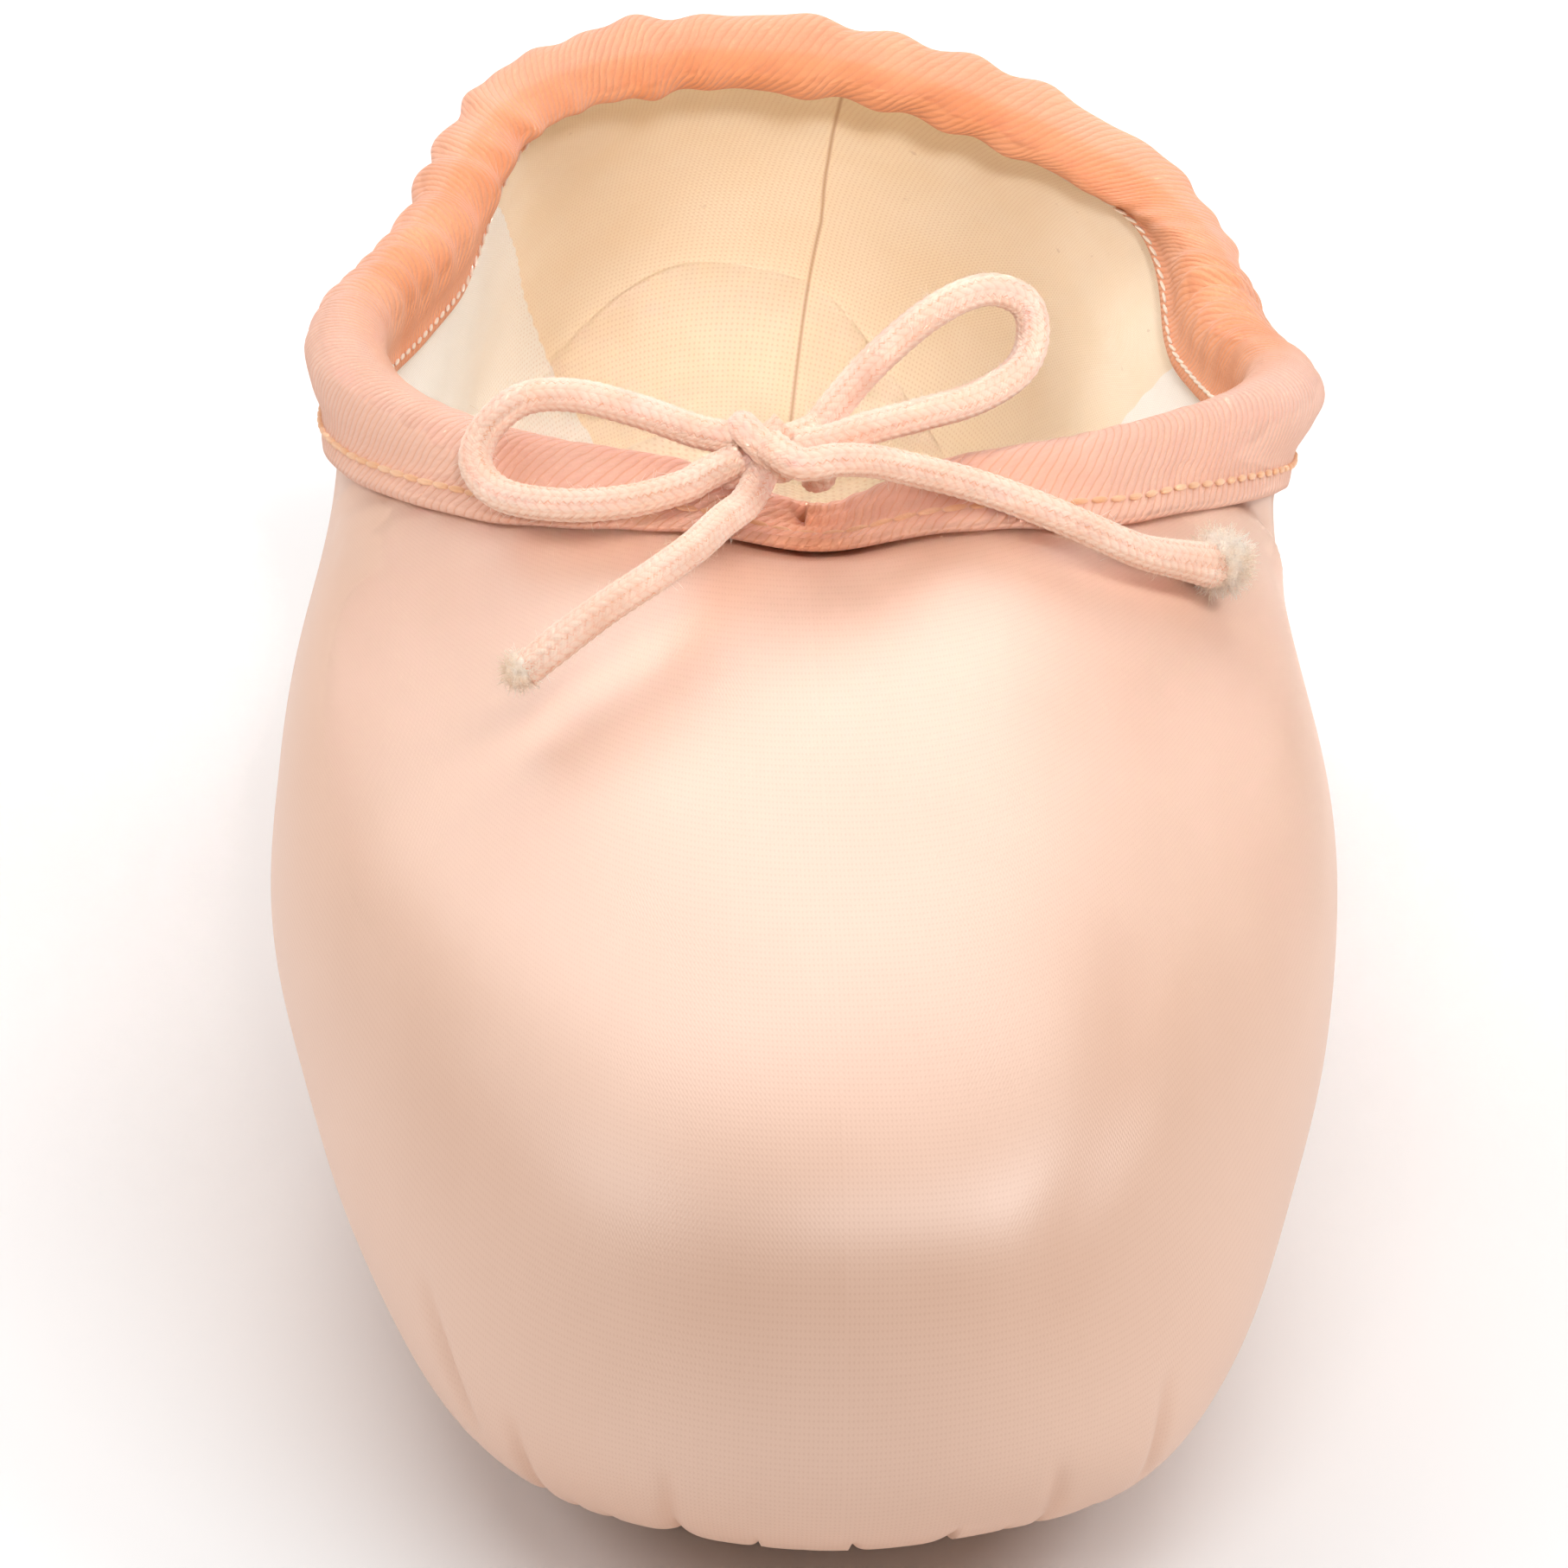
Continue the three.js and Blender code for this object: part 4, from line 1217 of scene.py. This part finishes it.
# %% Stitch tree
stitch_tree, given, made = geometry_tree("Stitches along a seam", [
    ("Pitch", FLOAT, 0.002), ("Length", FLOAT, 0.0017), ("Thickness", FLOAT, 0.0004), ("Lean", FLOAT, 0.1),
    ("Seed", INT, 1), ("Material", MATERIAL, None)])
line = add_node(stitch_tree, "GeometryNodeMeshToCurve", {"Mesh": given["Geometry"]})
stops = add_node(stitch_tree, "GeometryNodeResampleCurve", {
    "Curve": line.outputs[0], "Length": given["Pitch"]}, mode="LENGTH")
bead = add_node(stitch_tree, "GeometryNodeMeshUVSphere", {"Segments": 8, "Rings": 6, "Radius": 0.5})
shape = add_node(stitch_tree, "ShaderNodeCombineXYZ", {
    0: given["Length"], 1: given["Thickness"], 2: given["Thickness"]})
stitch = add_node(stitch_tree, "GeometryNodeTransform", {
    "Geometry": bead.outputs["Mesh"], "Scale": shape.outputs[0]})
heading = add_node(stitch_tree, "GeometryNodeInputTangent").outputs[0]
aligned = add_node(stitch_tree, "FunctionNodeAlignRotationToVector", {"Vector": heading}, axis="X")
turned = leaning(stitch_tree, given, aligned.outputs[0], (0, 0.3, 0.5), (0, 0.3, 1.5))
sewn = add_node(stitch_tree, "GeometryNodeInstanceOnPoints", {
    "Points": stops.outputs[0], "Instance": stitch.outputs[0], "Rotation": turned})
finish_tree(stitch_tree, given, made, sewn.outputs[0])


def thread_material(name, first, second):
    material, tree, shader = new_material(name, Roughness=0.7, Sheen_Weight=0.2, Specular_IOR_Level=0.3)
    place = add_node(tree, "ShaderNodeTexCoord").outputs["Object"]
    tone = tone_of(tree, place, 400.0, first, second)
    tree.links.new(tone["Colour"], shader.inputs["Base Color"])
    return material


def seam_carrier(name, points):
    mesh = bpy.data.meshes.new(name)
    count = len(points)
    mesh.from_pydata((points * MM).tolist(), [(i, (i + 1) % count) for i in range(count)], [])
    return link_piece(name, mesh)


# %% Sew the two lips
peach_thread = thread_material("peach thread", (0.80, 0.42, 0.22), (0.86, 0.52, 0.32))
white_thread = thread_material("cream thread", (0.88, 0.72, 0.56), (0.92, 0.80, 0.68))
STITCH_PITCH = 2.0
# Each row: its name, down from the edge and out from the satin in mm, its thread and its thickness.
STITCH_ROWS = [
    ("outer_stitches", 4.15, 1.52, peach_thread, 0.55),
    ("inner_stitches", 4.0, -2.85, white_thread, 0.3),
]
for name, stitch_down, stitch_out, thread, thickness in STITCH_ROWS:
    row_down = np.full((1, TAPE_ROUND), stitch_down) + LIP_CREEP * creep
    places = collar_place(tape_around, row_down, np.full((1, TAPE_ROUND), stitch_out))[0]
    stitches = grown(name, seam_carrier(name + "_line", places), stitch_tree, {
        "Pitch": STITCH_PITCH * MM, "Length": STITCH_PITCH * MM, "Thickness": thickness * MM, "Lean": 0.12,
        "Seed": 3, "Material": thread})
    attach(stitches, "root")

# %% [markdown]
# ## Outsole and insole
# The outsole is a narrow piece of raw tan leather that closes the opening under the pleats. It follows the
# arch and the toe spring, and its edge is bevelled. The insole is canvas that fills the shoe's bottom. Both
# are rings again: the outline shrinks step by step to the middle, so that top and bottom stay curved.

# %% Sole helpers
SOLE_SHRINK = [0.96, 0.85, 0.65, 0.4, 0.15, 0.02]
# Percent back along the length and percent out to half the ball width.
OUTSOLE_OUTLINE = [
    (10, 0), (11, 22), (14.5, 44), (21, 59), (28, 64), (41, 56), (55, 41), (66, 36),
    (77, 41), (85, 46), (90.5, 41), (94, 25), (95, 0),
]
SOLE_POINTS = 300


def even_ring(points, count):
    """A closed curve through the points, with evenly spaced stops."""
    points = np.asarray(points, float)
    wrapped = smooth_route(np.vstack([points[-2:], points, points[:2]]), 0.2)
    start = np.argmin(np.linalg.norm(wrapped[:len(wrapped) // 2] - points[0], axis=1))
    end = len(wrapped) // 2 + np.argmin(np.linalg.norm(wrapped[len(wrapped) // 2:] - points[0], axis=1))
    loop = wrapped[start:end]
    return loop[np.linspace(0, len(loop), count, endpoint=False).astype(int)]


def rise_here(points):
    return sole_rise(points[:, 1] - SHOE_SHIFT[1])


def shrunk(ring, share, height):
    """The ring drawn in towards the shoe's middle, at one height over the curved floor of the last."""
    middle = (ring.min(axis=0) + ring.max(axis=0)) / 2
    smaller = middle + (ring - middle) * share
    smaller[:, 2] = rise_here(smaller) + height
    return smaller


def inset(ring, distance):
    ahead = np.roll(ring, -1, axis=0) - np.roll(ring, 1, axis=0)
    sideways = np.column_stack([-ahead[:, 1], ahead[:, 0], np.zeros(len(ring))])
    sideways /= np.linalg.norm(sideways, axis=1, keepdims=True)
    centre = ring.mean(axis=0)
    if np.sum((ring - centre) * sideways) > 0:
        sideways = -sideways
    return ring + sideways * distance


def flat_map(rings):
    closed = np.concatenate([rings, rings[:, :1]], axis=1)
    return np.concatenate([closed, closed[-1:]])[..., :2]


# %% Outsole
SOLE_THICKNESS = 3.0
SOLE_BEVEL = 0.7
half = np.array([(out / 200 * BALL_WIDTH, back / 100 * LENGTH, 0) for back, out in OUTSOLE_OUTLINE])
outline = np.vstack([half, half[-2:0:-1] * [-1, 1, 1]]) + SHOE_SHIFT
edge = even_ring(outline, SOLE_POINTS)
BEVEL_MIDDLE = SOLE_BEVEL * 0.3
lower_bevel = [(SOLE_BEVEL, 0.0), (BEVEL_MIDDLE, BEVEL_MIDDLE), (0.0, SOLE_BEVEL)]
profile = lower_bevel + [(distance, SOLE_THICKNESS - height) for distance, height in lower_bevel[::-1]]
side_rings = []
for distance, height in profile:
    ring = inset(edge, distance)
    ring[:, 2] = rise_here(ring) + height
    side_rings.append(ring)
under = [shrunk(side_rings[0], share, 0.0) for share in SOLE_SHRINK[::-1]]
over = [shrunk(side_rings[-1], share, SOLE_THICKNESS) for share in SOLE_SHRINK]
sole_rings = np.array([*under, *side_rings, *over])
outsole = lofted_piece("leather_outsole", sole_rings, flat_map(sole_rings), ends_meet=False)
edge_paint = np.zeros(sole_rings.shape[:2])
edge_paint[len(under):len(under) + len(side_rings)] = 1
paint(outsole, "edge", edge_paint)
print("outsole:", len(outsole.data.polygons), "faces")

leather_material, tree, shader = new_material("raw sole leather", Specular_IOR_Level=0.35)
place = add_node(tree, "ShaderNodeTexCoord").outputs["Object"]
tone = tone_of(tree, place, 60.0, (0.46, 0.29, 0.17), (0.56, 0.38, 0.24))
grain = add_node(tree, "ShaderNodeTexNoise", {
    "Vector": place, "Scale": 900.0, "Detail": 6.0, "Roughness": 0.65}).outputs[0]
fibres = add_node(tree, "ShaderNodeTexVoronoi", {"Vector": place, "Scale": 1400.0}).outputs["Distance"]
EDGE_BROWN = (0.40, 0.23, 0.12)
PALE_GRAIN = (0.66, 0.48, 0.32)
cut_edge = mixed_colour(tree, times(tree, painted(tree, "edge"), 0.7), tone["Colour"], EDGE_BROWN)
mottled = mixed_colour(tree, spread(tree, grain, 0.4, 0.7, 0.0, 0.35), cut_edge, PALE_GRAIN)
tree.links.new(mottled, shader.inputs["Base Color"])
tree.links.new(spread(tree, grain, 0.3, 0.7, 0.6, 0.85), shader.inputs["Roughness"])
bumped(tree, shader, plus(tree, grain, times(tree, fibres, 0.4)), 0.5, 0.12)
outsole.data.materials.append(leather_material)
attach(outsole, "root")
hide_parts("outsole")

# %% Insole
INSOLE_THICKNESS = 1.5
INSOLE_REACH = 0.12
FIT_GAP = 0.3
INSOLE_ROUND = 240
insole_around = stations_round(INSOLE_ROUND)


def inside_ring(up, depth):
    up = np.full(INSOLE_ROUND, up)
    return skin(insole_around, up) - outward(insole_around, up) * (wall_at(up) + depth)[:, None]


insole_levels = (0.0, 0.04, 0.08, INSOLE_REACH)
insole_under = [inside_ring(level, FIT_GAP) for level in insole_levels]
insole_top = [inside_ring(level, FIT_GAP + INSOLE_THICKNESS) for level in insole_levels[::-1]]
under_height = np.mean(insole_under[0][:, 2] - rise_here(insole_under[0]))
top_height = np.mean(insole_top[-1][:, 2] - rise_here(insole_top[-1]))
bottom_fill = [shrunk(insole_under[0], share, under_height) for share in SOLE_SHRINK[::-1]]
top_fill = [shrunk(insole_top[-1], share, top_height) for share in SOLE_SHRINK]
insole_rings = np.array([*bottom_fill, *insole_under, *insole_top, *top_fill])
insole = lofted_piece("canvas_insole", insole_rings, flat_map(insole_rings), ends_meet=False)
print("insole:", len(insole.data.polygons), "faces")

insole_material, tree, shader = new_material("canvas insole", Roughness=0.92, Specular_IOR_Level=0.2)
surface = surface_map(tree)
weave = weave_of(tree, surface, 1.5, 1.5, 0.5)
tone = tone_of(tree, surface, 0.05, (0.95, 0.81, 0.63), (0.96, 0.84, 0.67), specks=0.3)
# Painted shade: the colour darkens in the gaps of the weave.
shaded = mixed_colour(tree, times(tree, weave["Gap"], 0.3), tone["Colour"], CANVAS_SHADE)
tree.links.new(shaded, shader.inputs["Base Color"])
bumped(tree, shader, weave["Height"], 0.5, 0.12)
insole.data.materials.append(insole_material)
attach(insole, "root")
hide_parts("insole")

# %% [markdown]
# ## Floor and light
# The photograph is a plain white studio shot, so the floor is near white and the light is broad and soft.
# The largest softbox hangs behind and above the shoe, where the vamp mirrors it towards the camera. Three
# smaller ones stand in front and at the sides, a narrow lamp reaches the lining at the heel, and a dim white
# world fills the rest. One small lamp would give a hard shine that satin under softboxes doesn't have.

# %% Stage
floor_mesh = bpy.data.meshes.new("floor")
FLOOR_HALF = 4.0
floor_corners = [(x * FLOOR_HALF, y * FLOOR_HALF, 0) for x, y in ((-1, -1), (1, -1), (1, 1), (-1, 1))]
floor_mesh.from_pydata(floor_corners, [], [(0, 1, 2, 3)])
floor = link_piece("floor", floor_mesh)
floor_material, tree, shader = new_material("white paper", Roughness=0.95, Specular_IOR_Level=0.1)
place = add_node(tree, "ShaderNodeTexCoord").outputs["Object"]
tone = tone_of(tree, place, 2.0, (0.92, 0.92, 0.92), (0.94, 0.94, 0.94))
tree.links.new(tone["Colour"], shader.inputs["Base Color"])
floor_mesh.materials.append(floor_material)
floor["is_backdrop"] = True

WORLD_STRENGTH = 0.22
LOOK_AT = (0, -0.03, 0.03)
HEEL_LINING = (0.006, 0.097, 0.046)
INSIDE_SPREAD = np.radians(6)
# Each softbox: its name, its place and its two sides in metres, and its watts.
SOFTBOXES = [
    ("rear softbox", (-0.05, 0.75, 0.98), (1.5, 0.7), 10.5),
    ("front softbox", (0.2, -0.62, 1.1), (1.3, 0.45), 6.0),
    ("left softbox", (-1.0, -0.05, 0.75), (0.8, 0.5), 4.0),
    ("right softbox", (0.95, -0.13, 0.8), (0.45, 0.45), 4.3),
]


def softbox(name, place, size, power, look_at=LOOK_AT):
    light = bpy.data.lights.new(name, "AREA")
    light.shape = "RECTANGLE"
    light.size, light.size_y = size
    light.energy = power
    lamp = bpy.data.objects.new(name, light)
    bpy.context.scene.collection.objects.link(lamp)
    lamp.location = place
    lamp.rotation_euler = (Vector(look_at) - Vector(place)).to_track_quat("-Z", "Y").to_euler()
    return lamp


for box in SOFTBOXES:
    softbox(*box)
inside_lamp = softbox("inside lamp", (0.04, -1.0, 0.62), (0.12, 0.12), 0.027, look_at=HEEL_LINING)
inside_lamp.data.spread = INSIDE_SPREAD
world = bpy.data.worlds.new("studio")
world.use_nodes = True
world.node_tree.nodes["Background"].inputs["Color"].default_value = (1, 1, 1, 1)
world.node_tree.nodes["Background"].inputs["Strength"].default_value = WORLD_STRENGTH
bpy.context.scene.world = world
bpy.context.scene.view_settings.view_transform = "Standard"

# %% Sizes and finish
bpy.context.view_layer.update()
triangles = {piece.name: sum(len(face.vertices) - 2 for face in piece.data.polygons)
             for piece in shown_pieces() if piece.type == "MESH"}
largest = max(triangles, key=triangles.get)
print("triangles:", sum(triangles.values()), "most:", largest, triangles[largest])
